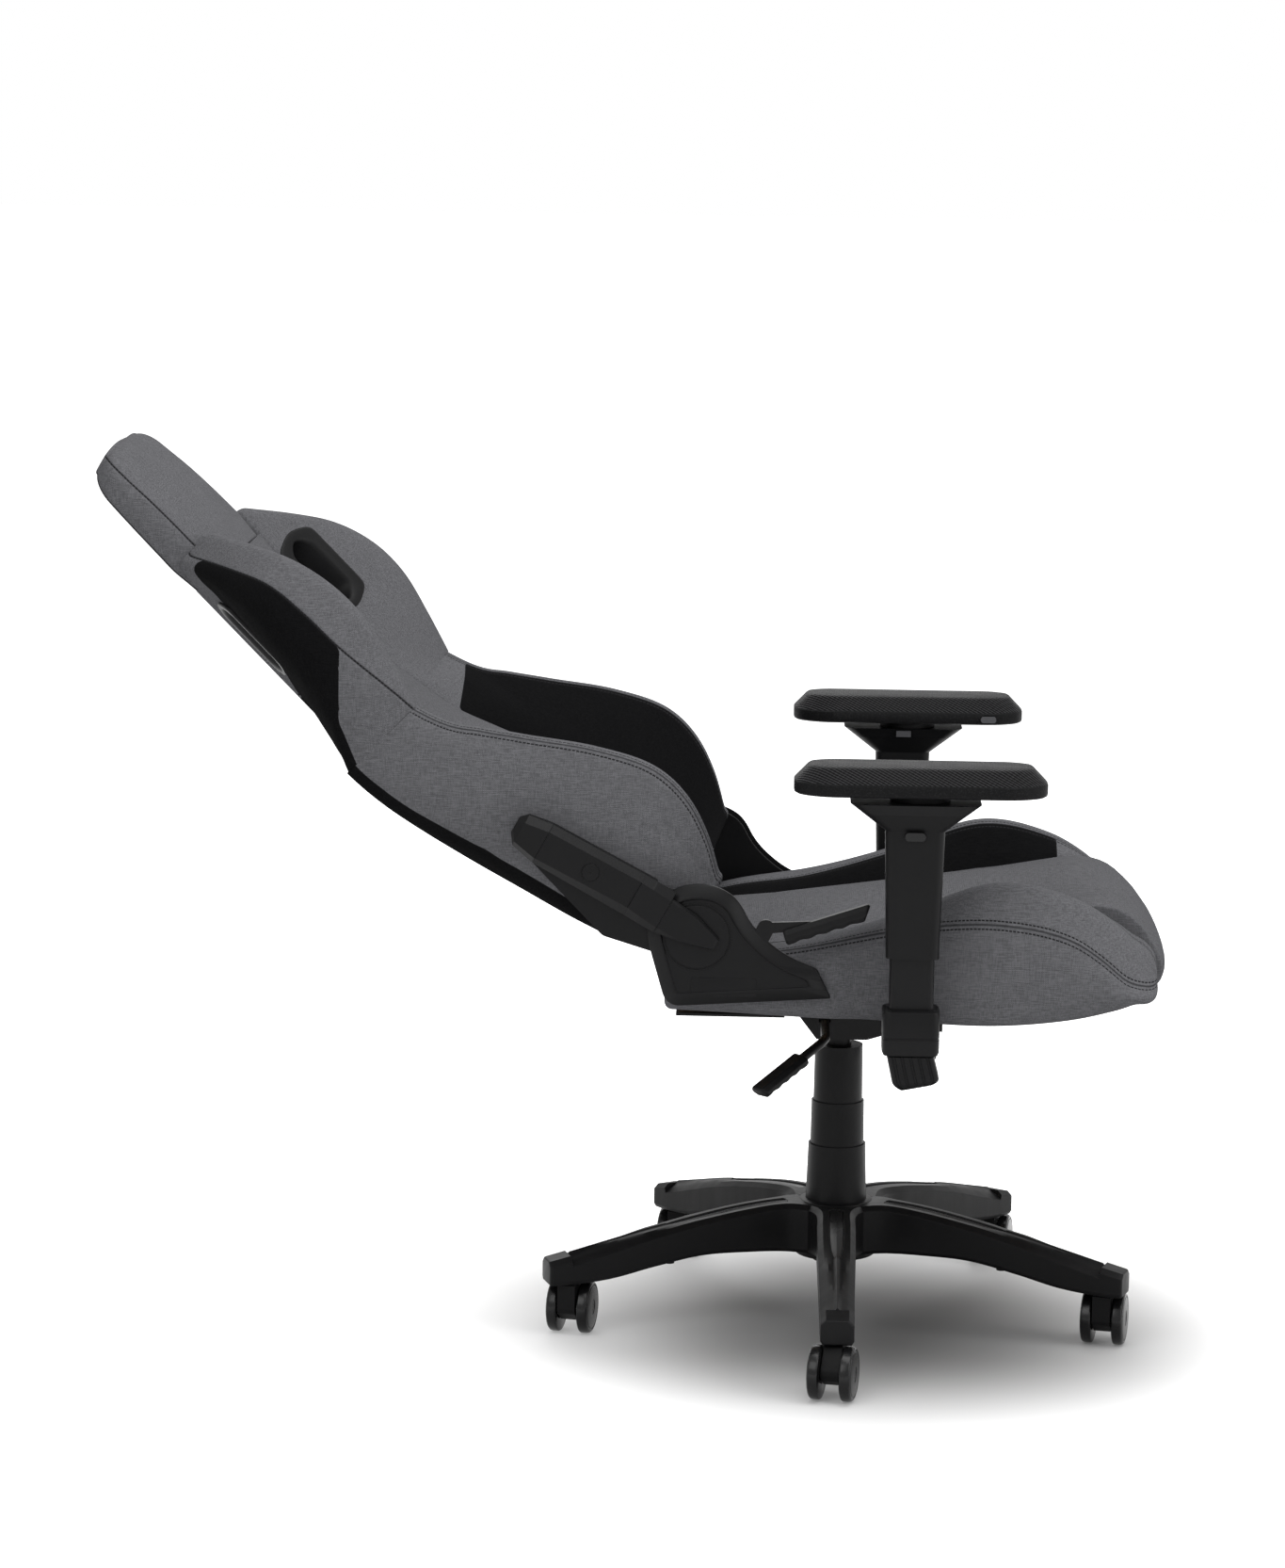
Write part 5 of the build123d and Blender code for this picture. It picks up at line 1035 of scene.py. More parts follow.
def border_distance(points, ring):
    """Distance of flat points from a closed outline: the least over its straight pieces."""
    run = np.roll(ring, -1, axis=0) - ring
    away = points[:, None] - ring[None]
    share = np.clip((away * run).sum(axis=2) / (run**2).sum(axis=1), 0, 1)
    return np.linalg.norm(away - share[..., None] * run, axis=2).min(axis=1)


def inset(ring, centre, depth):
    """Outline drawn in along its rays to a centre until it lies a depth inside, by halving steps."""
    low = np.zeros(len(ring))
    high = np.ones(len(ring))
    for _ in range(22 if depth > 0 else 0):
        middle = (low + high) / 2
        inside = border_distance(centre + (ring - centre) * middle[:, None], ring) > depth
        low = np.where(inside, middle, low)
        high = np.where(inside, high, middle)
    share = low if depth > 0 else high
    return centre + (ring - centre) * share[:, None]


def sideways(side):
    """Places flat x, z points at a distance from the chair's middle."""
    return lambda flat, out: np.stack([flat[:, 0], np.full(len(flat), side * out), flat[:, 1]], axis=1)


def upright(middle):
    """Places flat x, y points about a middle at a height."""
    return lambda flat, up: np.column_stack([flat + middle, np.full(len(flat), up)])


def relief(name, ring, centre, rows, place):
    """Closed piece on a flat outline: each row lies a depth inside the outline, at its own height."""
    centre = np.asarray(centre, float)
    return tube(name, np.array([place(inset(ring, centre, depth), height) for depth, height in rows]))


PIVOT = np.array([-157.0, 490.0])
COVER_CORNERS = (
    # x and z of the seat-side hinge cover's corners, from its rear edge round its foot to its disc
    (-208.0, 478.0), (-189.0, 413.0), (-13.0, 425.0), (-29.0, 457.0), (-66.0, 472.0), (-98.0, 500.0),
    (-114.0, 531.0), (-135.0, 543.5), (-157.0, 546.5), (-181.0, 542.0), (-202.0, 524.0), (-212.0, 500.0),
)
COVER_RADII = (12, 16, 3, 3, 34, 30, 22, 22, 22, 22, 22, 22)
COVER_ROWS = ((0, 273.0), (0, 276.5), (1.2, 278.0), (13.0, 284.0), (14.4, 284.0), (15.6, 282.0))
COVER_CENTRE = (-148.0, 466.0)


def hinge_cover(label, side):
    """Seat-side hinge cover: a sloped rim round a flat face, with a flush disc over the pivot and a plain
    shallow panel below it."""
    place = sideways(side)
    ring = outline(COVER_CORNERS, COVER_RADII, 260)
    cover = relief("cover", ring, COVER_CENTRE, COVER_ROWS, place)
    axle = (PIVOT[0], 0.0, PIVOT[1])
    disc = turned("disc", [(281, 1), (281, 34), (282.9, 34), (283.5, 33.2), (283.5, 1)], axle, (0, side, 0))
    groove = turned("lip", [(281, 35.2), (281, 37), (282.7, 36.8), (282.7, 35.4)], axle, (0, side, 0))
    panel_ring = outline([(-163, 426), (-93, 426), (-93, 446), (-163, 446)], [3, 3, 3, 3], 80)
    panel = relief("panel", panel_ring, (-128.0, 436.0), ((0, 281), (0, 282.3), (0.6, 282.7)), place)
    obj = edged(joined(f"Hinge_Cover_{label}", [cover, disc, groove, panel]))
    return dressed(obj, "Satin Nylon", "seat", ())


PLATE_Y = (261.0, 266.0)
FLANGE_BOX = ((-180.0, 140.0, 388.2), (-62.0, 204.0, 391.8))


def hinge_plate(label, side):
    """Steel plate behind a hinge cover: the cover's outline drawn in, with the pivot stud and the flange
    that runs under the seat pan."""
    place = sideways(side)
    ring = outline(COVER_CORNERS, COVER_RADII, 160)
    plate = relief("plate", ring, COVER_CENTRE, ((5.0, PLATE_Y[0]), (4.0, PLATE_Y[0]), (4.0, PLATE_Y[1]),
                                                 (5.0, PLATE_Y[1])), place)
    stud_profile = [(PLATE_Y[1] - 1, 1), (PLATE_Y[1] - 1, 9), (280, 9), (280, 1)]
    stud = turned("stud", stud_profile, (PIVOT[0], 0.0, PIVOT[1]), (0, side, 0))
    low, high = np.array(FLANGE_BOX)
    square = [(low[0], low[1]), (high[0], low[1]), (high[0], high[1]), (low[0], high[1])]
    floor_ring = np.array([(x, side * y, low[2]) for x, y in square])
    flange = tube("flange", np.array([floor_ring, floor_ring + (0.0, 0.0, high[2] - low[2])]), False)
    obj = edged(joined(f"Hinge_Plate_{label}", [plate, stud, flange]))
    return dressed(obj, "Black Steel", "seat", ())


ARM_ROWS = np.array([
    # distance from the pivot along the arm, lower edge, lower crease, upper crease, upper edge, face,
    # edges, back
    (-21.5, -2.0, -1.0, 8.5, 9.5, 289.0, 287.5, 285.4),
    (-18.0, -4.0, -3.0, 10.0, 11.5, 290.0, 287.5, 285.4),
    (12.0, -12.5, -11.5, 18.5, 21.0, 291.0, 287.5, 285.4),
    (42.6, -17.5, -11.8, 20.5, 23.0, 291.4, 287.5, 285.4),
    (43.4, -18.0, -11.5, 21.0, 31.0, 292.8, 287.0, 285.4),
    (65.5, -18.0, -9.5, 22.3, 31.2, 294.2, 287.0, 285.4),
    (66.5, -18.0, -9.4, 22.3, 31.2, 294.2, 286.0, 272.2),
    (80.0, -18.0, -8.0, 23.0, 31.0, 295.0, 285.0, 272.2),
    (80.8, -18.0, -8.0, 23.0, 31.0, 293.4, 285.0, 272.2),
    (191.6, -18.0, -11.5, 20.5, 28.5, 293.4, 285.0, 272.2),
    (192.4, -18.0, -11.5, 20.5, 28.5, 294.8, 285.0, 272.2),
    (219.0, -13.0, -8.0, 15.0, 24.0, 287.0, 281.0, 272.2),
    (227.0, -2.0, 3.0, 10.0, 16.0, 282.0, 279.0, 272.2),
])
ARM_CAP = (133.0, 5.0)


def along_arm(u, v):
    """X and Z of a point u along the lower back from the pivot and v above that line."""
    x = PIVOT[0] - math.cos(BACK_LOW) * u + math.sin(BACK_LOW) * v
    return x, PIVOT[1] + math.sin(BACK_LOW) * u + math.cos(BACK_LOW) * v


def hinge_arm_cover(label, side):
    """Arrow-shaped arm cover: eight-cornered sections carried along the lower back, with sloped ends, a
    dropped middle and a thin blade over the pivot, and a round cap."""
    u, low, low_crease, high_crease, high, face, edge, back = ARM_ROWS.T
    v = np.stack([low, low, low_crease, high_crease, high, high], axis=1)
    out = np.stack([back, edge + 1.0, face, face, edge, back], axis=1)
    x, z = along_arm(u[:, None], v)
    body = tube("arm", np.stack([x, side * out, z], axis=2))
    cap_x, cap_z = along_arm(*ARM_CAP)
    cap_profile = [(291, 0.5), (291, 9.6), (293.6, 9.6), (295.0, 8.8), (295.2, 0.5)]
    cap = turned("cap", cap_profile, (cap_x, 0.0, cap_z), (0, side, 0), 48)
    obj = edged(joined(f"Hinge_Arm_Cover_{label}", [body, cap]), 0.0008, 12.0)
    return dressed(obj, "Satin Nylon", "backrest", ())


FINGER_DEPTH = 0.17


def waved_grip(name, start, end, across, up, half_w, half_h, waves, slant):
    """Six-sided grip along a line: its underside rises and falls with a cosine for the fingers, and its far
    end leans by a slant from bottom to top."""
    start, end, across, up = (np.asarray(v, float) for v in (start, end, across, up))
    share = np.concatenate([[0, 0.012], np.linspace(0.03, 0.97, 60), [0.988, 1]])
    swell = np.concatenate([[0.72, 0.93], np.ones(60), [0.93, 0.72]])
    finger = 0.5 - 0.5 * np.cos(2 * np.pi * waves * np.clip((share - 0.08) / 0.84, 0, 1))
    wide = np.array([-0.62, 0.62, 1.0, 1.0, 0.62, -0.62, -1.0, -1.0])
    tall = np.array([-1.0, -1.0, -0.35, 0.35, 1.0, 1.0, 0.35, -0.35])
    lift = np.where(tall < -0.3, 1.0, 0.0) * np.where(tall < -0.9, 1.0, 0.35)
    height = half_h * tall[None] * swell[:, None] + FINGER_DEPTH * half_h * finger[:, None] * lift[None]
    width = half_w * wide[None] * swell[:, None]
    run = share[:, None] * np.linalg.norm(end - start) + slant * share[:, None] * tall[None] * 0.5
    ahead = (end - start) / np.linalg.norm(end - start)
    rings = start + run[..., None] * ahead + width[..., None] * across + height[..., None] * up
    return edged(tube(name, rings), 0.0006, 24.0)


def recline_grip():
    """Grip of the recline lever, along its tab's upper arm."""
    start = np.array([-64.0, -276.3, 490.0])
    end = np.array([24.0, -276.3, 519.4])
    ahead = (end - start) / np.linalg.norm(end - start)
    up = np.array([-ahead[2], 0.0, ahead[0]])
    obj = waved_grip("Recline_Grip", start, end, (0, 1, 0), up, 7.5, 8.2, 4, 9.0)
    return dressed(obj, "Satin Nylon", "recline_lever", ["recline_lever_grip"])


def lift_grip():
    """Flat grip at the end of the lift lever."""
    end = np.array([-88.0, -236.0, 312.0])
    ahead = end - np.array([-17.0, -165.0, 357.0])
    ahead /= np.linalg.norm(ahead)
    start = end - 70.0 * ahead
    across = np.cross(ahead, (0.0, 0.0, 1.0))
    across /= np.linalg.norm(across)
    up = np.cross(across, ahead)
    obj = waved_grip("Lift_Grip", start, end, across, up, 12.0, 6.8, 4, 4.0)
    return dressed(obj, "Satin Nylon", "lift_lever", ["lift_lever_grip"])


PAD_ROWS = (
    # depth inside the pad's plan, height, share of woven skin
    (3.0, 650.2, 0.0), (0.6, 651.6, 0.0), (0.0, 653.5, 0.0), (0.0, 662.8, 0.0), (1.0, 664.0, 0.0),
    (1.3, 664.4, 1.0), (14.6, 678.2, 1.0), (17.0, 679.6, 1.0), (22.0, 680.4, 1.0), (32.0, 680.9, 1.0),
)
PAD_HALF = (133.75, 50.0)
PAD_MIDDLE = (76.5, 285.0)


def pad_outline():
    """Plan of a pad: a rectangle whose corners are cut and softened."""
    long, wide = PAD_HALF
    cut = (30.0, 21.0)
    quarter = [(long - cut[0], -wide), (long, cut[1] - wide)]
    corners = quarter + [(x, -y) for x, y in quarter[::-1]]
    corners += [(-x, -y) for x, y in corners]
    return outline(corners, [18] * 8, 240)


def arm_pads():
    """Armrest pads: a speckled upright rim, then woven skin over the bevel and the gently domed top."""
    for label, side in SIDES:
        middle = np.array([PAD_MIDDLE[0], side * PAD_MIDDLE[1]])
        rows = [row[:2] for row in PAD_ROWS]
        obj = relief(f"Arm_Pad_{label}", pad_outline(), (0.0, 0.0), rows, upright(middle))
        woven = [row[2] for row in PAD_ROWS]
        give(obj, "bevel", np.repeat(woven, len(obj.data.vertices) // len(PAD_ROWS)))
        obj.data.set_sharp_from_angle(angle=math.radians(40.0))
        dressed(obj, "Armrest Skin", f"arm_pad_{label}", [f"arm_pad_{label}"])


COLLAR_MIDDLE = (71.5, 290.0)
COLLAR_ROWS = (
    (5.0, 370.0), (1.6, 371.4), (0.0, 375.0), (0.0, 388.0), (0.7, 388.6), (0.7, 390.0), (0.0, 390.6),
    (0.0, 416.0), (0.9, 418.6), (2.6, 419.5),
)


def arm_collar(label, side):
    """Collar round the foot of the inner tube and the ribbed foot under it: the foot's section, with a
    groove every few millimetres of its outer faces, leans forward as it goes down and rounds off."""
    middle = np.array([COLLAR_MIDDLE[0], side * COLLAR_MIDDLE[1]])
    box = [(-30.5, -24.0), (30.5, -24.0), (30.5, 24.0), (-30.5, 24.0)]
    collar = relief("collar", outline(box, [10] * 4, 160), (0.0, 0.0), COLLAR_ROWS, upright(middle))
    foot_box = [(-25.0, -20.8), (25.0, -20.8), (25.0, 20.8), (-25.0, 20.8)]
    flat = outline(foot_box, [8] * 4, 320)
    groove = np.where((np.abs(flat[:, 1]) > 19.5) & (np.cos(flat[:, 0] * 2 * np.pi / 9.0) > 0.55), 1.1, 0.0)
    flat[:, 1] -= np.sign(flat[:, 1]) * groove
    rounding = 0.78 + 0.22 * np.sin(np.linspace(0.2, 1.5, 7))
    down = np.concatenate([[0.0], np.linspace(0.02, 0.78, 10), rounding])
    shrink = 1 - 0.3 * np.clip((down - 0.74) / 0.26, 0, 1) ** 2
    x = middle[0] + 8.0 * down[:, None] + flat[None, :, 0] * shrink[:, None]
    y = middle[1] + flat[None, :, 1] * shrink[:, None]
    z = 369.6 - down[:, None] * (34.0 - 0.14 * flat[None, :, 0])
    foot = tube("foot", np.stack([x, y, z], axis=2))
    obj = edged(joined(f"Arm_Collar_{label}", [collar, foot]), 0.0005, 35.0)
    return dressed(obj, "Satin Nylon", "seat", ())


LEG_ANGLES = np.radians(-90.0 + 72.0 * np.arange(5))
LEG_ROWS = np.array([
    # radius, half-width, underside, top
    (34.0, 36.0, 84.0, 139.0),
    (50.0, 28.0, 85.5, 141.0),
    (66.0, 22.5, 86.5, 141.0),
    (110.0, 21.5, 88.0, 136.5),
    (163.0, 21.0, 87.0, 127.5),
    (218.0, 20.0, 77.0, 117.0),
    (268.0, 19.0, 66.0, 105.0),
    (318.0, 18.6, 61.5, 93.0),
    (338.0, 18.2, 61.2, 88.5),
])
HUB_PROFILE = (
    (78.0, 26.0), (78.0, 44.0), (80.0, 46.5), (133.0, 46.5), (137.6, 45.0), (139.6, 43.4), (138.6, 42.6),
    (138.6, 41.4), (140.2, 40.6), (141.2, 38.0), (141.2, 26.0),
)
BLADE_FROM = 58.0
BLADE_TO = 200.0
BLADE_HALF = 7.6
RIDGE_TO = 314.0


def blade_half(r):
    """Half-width of the inlaid blade: even, then drawn to a point on a quarter of an ellipse."""
    share = np.clip((r - 120.0) / (BLADE_TO - 120.0), 0, 1)
    return BLADE_HALF * np.sqrt(np.maximum(1 - share**2, 0))


def leg_top(r, w, top):
    """Height of a leg's top: a recess under the blade, then a ridge that narrows to a point near the tip
    with hollowed flanks beside it, then a plain end."""
    wide = np.abs(w)
    limit = 17.0 * np.clip((RIDGE_TO - r) / (RIDGE_TO - 150.0), 0, 1)
    hollow = np.minimum(0.55 * np.maximum(wide - limit, 0), 6.0) * (r < RIDGE_TO) * (r > 150.0)
    ridge = 1.8 * np.clip(1 - wide / 3.0, 0, 1) * (r > BLADE_TO) * (r < RIDGE_TO)
    recess = 3.0 * (wide < blade_half(r) + 0.6) * (r > BLADE_FROM) * (r < BLADE_TO)
    return top - hollow + ridge - recess


def star_leg(name, angle):
    """One leg: sections of underside, flanks, shoulders and shaped top, carried out from the hub, with the
    end rounded by drawing the last sections in."""
    breaks = [BLADE_FROM, BLADE_TO, RIDGE_TO, RIDGE_TO + 2]
    r = np.unique(np.concatenate([np.linspace(34, 336, 130), breaks]))
    half, low, top = smooth(r, LEG_ROWS[:, 0], LEG_ROWS[:, 1:]).T
    groove = blade_half(r)
    groove = np.where((r > BLADE_FROM) & (r < BLADE_TO), groove, 4.0)
    edge = np.maximum(half - 6.0, 8.5)
    lip = groove + 1.0
    w_top = np.stack([edge, 0.5 * (edge + lip), lip, groove + 0.2, 0.5 * groove, 0 * r], axis=1)
    w_top = np.concatenate([w_top, -w_top[:, -2::-1]], axis=1)
    z_top = leg_top(r[:, None], w_top, top[:, None])
    flank = z_top[:, :1] - 5.5
    w = np.concatenate([-half[:, None] * 0.86, half[:, None] * 0.86, half[:, None], half[:, None], w_top,
                        -half[:, None], -half[:, None]], axis=1)
    under = low[:, None]
    z = np.concatenate([under, under, under + 4, flank, z_top, flank, under + 4], axis=1)
    draw = np.array([(0.0, 1.0), (1.6, 0.97), (2.6, 0.9), (3.0, 0.8)])
    middle = 0.5 * (low[-1] + top[-1])
    r = np.concatenate([r, r[-1] + draw[1:, 0]])
    w = np.concatenate([w, w[-1:] * draw[1:, 1:]])
    z = np.concatenate([z, middle + (z[-1:] - middle) * draw[1:, 1:]])
    x = r[:, None] * math.cos(angle) - w * math.sin(angle)
    y = r[:, None] * math.sin(angle) + w * math.cos(angle)
    return tube(name, np.stack([x, y, z], axis=2))


def leg_blade(name, angle):
    """Inlaid blade of a leg: two facets that meet in a ridge, drawn to a point."""
    r = np.linspace(BLADE_FROM + 0.4, BLADE_TO - 0.8, 60)
    top = smooth(r, LEG_ROWS[:, 0], LEG_ROWS[:, 3])
    half = np.maximum(blade_half(r), 0.15)
    w = np.stack([-half, half, half, 0 * r, -half], axis=1)
    z = np.stack([top - 5.0, top - 5.0, top - 2.4, top - 2.4 + 0.27 * half, top - 2.4], axis=1)
    x = r[:, None] * math.cos(angle) - w * math.sin(angle)
    y = r[:, None] * math.sin(angle) + w * math.cos(angle)
    return edged(tube(name, np.stack([x, y, z], axis=2)), 0.0002, 12.0)


def star_base():
    """Five legs and the hub as one moulding, with a gloss blade inlaid along each leg and a rest nub under
    its middle."""
    legs = [star_leg(f"leg_{k}", angle) for k, angle in enumerate(LEG_ANGLES)]
    hub = turned("hub", HUB_PROFILE, (0, 0, 0), (0, 0, 1), 96)
    nub_profile = [(80.0, 0.5), (80.0, 5.4), (79.2, 6.0), (90.0, 6.0), (90.0, 0.5)]
    nubs = []
    for k, angle in enumerate(LEG_ANGLES):
        place = (196.0 * math.cos(angle), 196.0 * math.sin(angle), -3.0)
        nubs.append(turned(f"nub_{k}", nub_profile, place, (0, 0, 1), 24))
    obj = edged(joined("Star_Base", legs + [hub] + nubs), 0.0009, 24.0)
    dressed(obj, "Satin Nylon", "base", ["star_base"])
    blades = joined("Leg_Blades", [leg_blade(f"blade_{k}", angle) for k, angle in enumerate(LEG_ANGLES)])
    dressed(blades, "Gloss Nylon", "base", ())


WHEEL_PROFILE = (
    # distance out along the axle, radius
    (11.2, 4.0), (11.2, 26.8), (12.0, 28.8), (13.2, 29.5), (19.6, 29.5), (22.0, 28.9), (23.4, 27.4),
    (23.8, 26.0), (23.7, 25.5), (22.9, 25.2), (22.9, 24.2), (23.8, 23.8), (24.2, 22.0), (24.2, 9.0),
    (23.6, 8.4), (23.6, 4.0),
)


def castor_wheels():
    """Twin wheels of each castor: a rounded tread, a thin rim groove and a flat hub cap, turned about the
    castor's axle, and the axle between them."""
    rolls = {joint["name"]: joint for joint in frame["record"]["behaviour"]["joints"]}
    for k in range(1, 6):
        roll = rolls[f"castor_{k}_roll"]
        place = np.array(roll["pos_m"]) / MM
        axis = np.array(roll["axis"], float)
        pair = [turned("wheel", WHEEL_PROFILE, place, way * axis) for way in (-1.0, 1.0)]
        axle = turned("axle", [(-23.5, 0.4), (-23.5, 4.1), (23.5, 4.1), (23.5, 0.4)], place, axis, 24)
        obj = edged(joined(f"Castor_Wheels_{k}", pair + [axle]), 0.0003, 30.0)
        dressed(obj, "Castor Gloss", f"castor_{k}_wheels", [f"castor_{k}_wheels"])


# Finishes of the nodes that show as they are


NODE_FINISH = {
    "Satin Nylon": ["slot_bezels", "star_base", "sleeve_lower", "sleeve_middle", "sleeve_upper",
                    "arm_collars", "hinge_covers", "hinge_arm_covers", "lift_lever_grip",
                    "recline_lever_grip", "tension_knob", "guide_bush",
                    "arm_post_right", "arm_post_left", "arm_plate_right", "arm_plate_left",
                    "arm_turntable_right", "arm_turntable_left"],
    "Black Steel": ["mechanism_housing", "mechanism_plate", "back_frame", "arm_brackets",
                    "arm_inner_tubes", "lift_lever", "recline_lever", "stand_tube", "gas_spring"],
    "Bright Steel": ["castor_stems", "tilt_pin", "seat_bolts", "piston_rod", "release_button"],
    "Rubber": ["tilt_buffer"],
    "Plywood": ["seat_pan"],
    "Grey Button": ["arm_plate_button_right", "arm_plate_button_left", "arm_pad_button_right",
                    "arm_pad_button_left"],
    "Castor Gloss": [f"castor_{k}_wheels" for k in range(1, 6)] + ["arm_trigger_right", "arm_trigger_left"],
    "Castor Core": [f"castor_{k}_fork" for k in range(1, 6)],
    "Armrest Skin": ["arm_pad_right", "arm_pad_left"],
    "Grey Cloth": ["seat_cushion", "seat_bolsters", "back_pad", "headrest_pad", "shoulder_wings",
                   "lumbar_bolsters", "back_rear_panel"],
}


def make_materials():
    """Node groups, materials, and the finish of every node that shows."""
    heather_group()
    stitch_group()
    moulded_group()
    twill_group()
    cloth_material("Grey Cloth", False)
    cloth_material("Sewn Cloth", True, sizes().seam_offset)
    cloth_material("Single Seam Cloth", True)
    nylon = tuple(colours().nylon)
    moulded_material("Satin Nylon", nylon, 0.44, 0.07)
    moulded_material("Gloss Nylon", nylon, 0.3, 0.06, gloss=0.16)
    moulded_material("Castor Gloss", nylon, 0.24, 0.07, coat=0.06, gloss=0.2)
    moulded_material("Castor Core", shade(nylon, 0.7), 0.5, 0.08)
    moulded_material("Black Steel", shade(nylon, 1.1), 0.38, 0.08, 2200.0)
    moulded_material("Rubber", shade(nylon, 0.8), 0.75, 0.08, 700.0, 0.2)
    moulded_material("Grey Button", (0.075, 0.075, 0.08), 0.45, 0.06)
    metal_material("Bright Steel", tuple(colours().steel), 0.3, (300.0, 300.0, 12.0))
    pad_material()
    plywood_material()
    for finish, nodes in NODE_FINISH.items():
        for node in nodes:
            obj = frame["nodes"][node]
            obj.data.materials.clear()
            obj.data.materials.append(bpy.data.materials[finish])


# Stage


CAMERA_PLACE = (-0.0729, -5.1749, 1.403)
CAMERA_YAW = -0.0295
CAMERA_PITCH = 0.152
CAMERA_ROLL = 0.0142
CAMERA_FOCUS = 4972.0
PHOTO_HEIGHT = 1665.0


def camera():
    """Camera from its place, heading, fall and roll: the picture's right and up follow from the heading
    and are turned by the roll."""
    data = bpy.data.cameras.new("Camera")
    data.sensor_width = 36.0
    data.lens = 36.0 * CAMERA_FOCUS / PHOTO_HEIGHT
    data.clip_end = 200.0
    obj = bpy.data.objects.new("Camera", data)
    bpy.context.scene.collection.objects.link(obj)
    sy, cy = math.sin(CAMERA_YAW), math.cos(CAMERA_YAW)
    sp, cp = math.sin(CAMERA_PITCH), math.cos(CAMERA_PITCH)
    ahead = np.array([sy * cp, cy * cp, -sp])
    right = np.array([cy, -sy, 0.0])
    up = np.cross(right, ahead)
    sr, cr = math.sin(CAMERA_ROLL), math.cos(CAMERA_ROLL)
    turned_right = right * cr + up * sr
    turned_up = up * cr - right * sr
    turn = np.eye(4)
    turn[:3, 0] = turned_right
    turn[:3, 1] = turned_up
    turn[:3, 2] = -ahead
    turn[:3, 3] = CAMERA_PLACE
    obj.matrix_world = Matrix(turn.tolist())
    bpy.context.scene.camera = obj


def lamp(name, place, aim, size, power):
    """Square soft lamp that points at a place."""
    data = bpy.data.lights.new(name, "AREA")
    data.shape = "SQUARE"
    data.size = size
    data.energy = power
    obj = bpy.data.objects.new(name, data)
    bpy.context.scene.collection.objects.link(obj)
    back = np.asarray(place, float) - np.asarray(aim, float)
    back /= np.linalg.norm(back)
    side = np.cross((0.0, 0.02, 1.0), back)
    side /= np.linalg.norm(side)
    turn = np.eye(4)
    turn[:3, 0] = side
    turn[:3, 1] = np.cross(back, side)
    turn[:3, 2] = back
    turn[:3, 3] = place
    obj.matrix_world = Matrix(turn.tolist())


def sees_background(tree):
    """One where a ray comes from the camera, a mirror or glass."""
    path = tree.nodes.new("ShaderNodeLightPath")
    seen = maths(tree, "MAXIMUM", path.outputs["Is Camera Ray"], path.outputs["Is Glossy Ray"])
    return maths(tree, "MAXIMUM", seen, path.outputs["Is Transmission Ray"])


def world_light():
    """Even white surroundings that light the chair softly and show white behind it."""
    world = bpy.data.worlds.new("Studio")
    bpy.context.scene.world = world
    world.use_nodes = True
    tree = world.node_tree
    background = tree.nodes["Background"]
    strength = ramp(tree, sees_background(tree), 0.0, 1.0, WORLD_LEVEL, 1.0)
    wire(tree, strength, background.inputs["Strength"])
    background.inputs["Color"].default_value = (1.0, 1.0, 1.0, 1.0)


WORLD_LEVEL = 0.38
FLOOR_REACH = 40.0
GLOW_NEAR = 0.0
GLOW_RADII = (0.12, 0.8)
# Painted shadow on the floor: its colour share at the middle and the radii over which it fades out.
SHADE_NEAR = 0.22
SHADE_RADII = (0.02, 0.62)
GLOW_CENTRE = (-0.06, 0.05, 0.0)


def floor():
    """Wide pale floor: takes the chair's shadow, has a painted shadow in its colour that darkens it towards
    the chair, and glows to white for the camera away from the chair, both by the distance from the point
    under its column."""
    corners = np.array([(-1, -1, 0), (1, -1, 0), (1, 1, 0), (-1, 1, 0)], float) * FLOOR_REACH
    corners[:, 2] = -0.0005
    obj = surface("Floor", corners, [(0, 1, 2, 3)], False)
    if obj.data.polygons[0].normal.z < 0:
        obj.data.flip_normals()
    material = bpy.data.materials.new("Pale Floor")
    material.use_nodes = True
    tree = material.node_tree
    tree.nodes.clear()
    out = tree.nodes.new("ShaderNodeOutputMaterial")
    matt = tree.nodes.new("ShaderNodeBsdfDiffuse")
    place = tree.nodes.new("ShaderNodeTexCoord").outputs["Object"]
    tone = ramp(tree, noise(tree, place, 3.0, 2.0), 0.3, 0.7, 0.86, 0.88)
    grey = tree.nodes.new("ShaderNodeCombineColor")
    moved = tree.nodes.new("ShaderNodeVectorMath")
    moved.operation = "ADD"
    wire(tree, place, moved.inputs[0])
    moved.inputs[1].default_value = GLOW_CENTRE
    away = tree.nodes.new("ShaderNodeVectorMath")
    away.operation = "LENGTH"
    wire(tree, moved.outputs["Vector"], away.inputs[0])
    # Painted shadow: the floor's colour is darkened towards the point under the column.
    painted_shade = ramp(tree, away.outputs["Value"], SHADE_RADII[0], SHADE_RADII[1], SHADE_NEAR, 1.0)
    tone = maths(tree, "MULTIPLY", tone, painted_shade)
    for k in range(3):
        wire(tree, tone, grey.inputs[k])
    wire(tree, grey.outputs[0], matt.inputs["Color"])
    rise = ramp(tree, away.outputs["Value"], GLOW_RADII[0], GLOW_RADII[1], GLOW_NEAR, 1.0)
    glow = tree.nodes.new("ShaderNodeEmission")
    wire(tree, maths(tree, "MULTIPLY", sees_background(tree), rise), glow.inputs["Strength"])
    both = tree.nodes.new("ShaderNodeAddShader")
    wire(tree, matt.outputs[0], both.inputs[0])
    wire(tree, glow.outputs[0], both.inputs[1])
    wire(tree, both.outputs[0], out.inputs["Surface"])
    obj.data.materials.append(material)


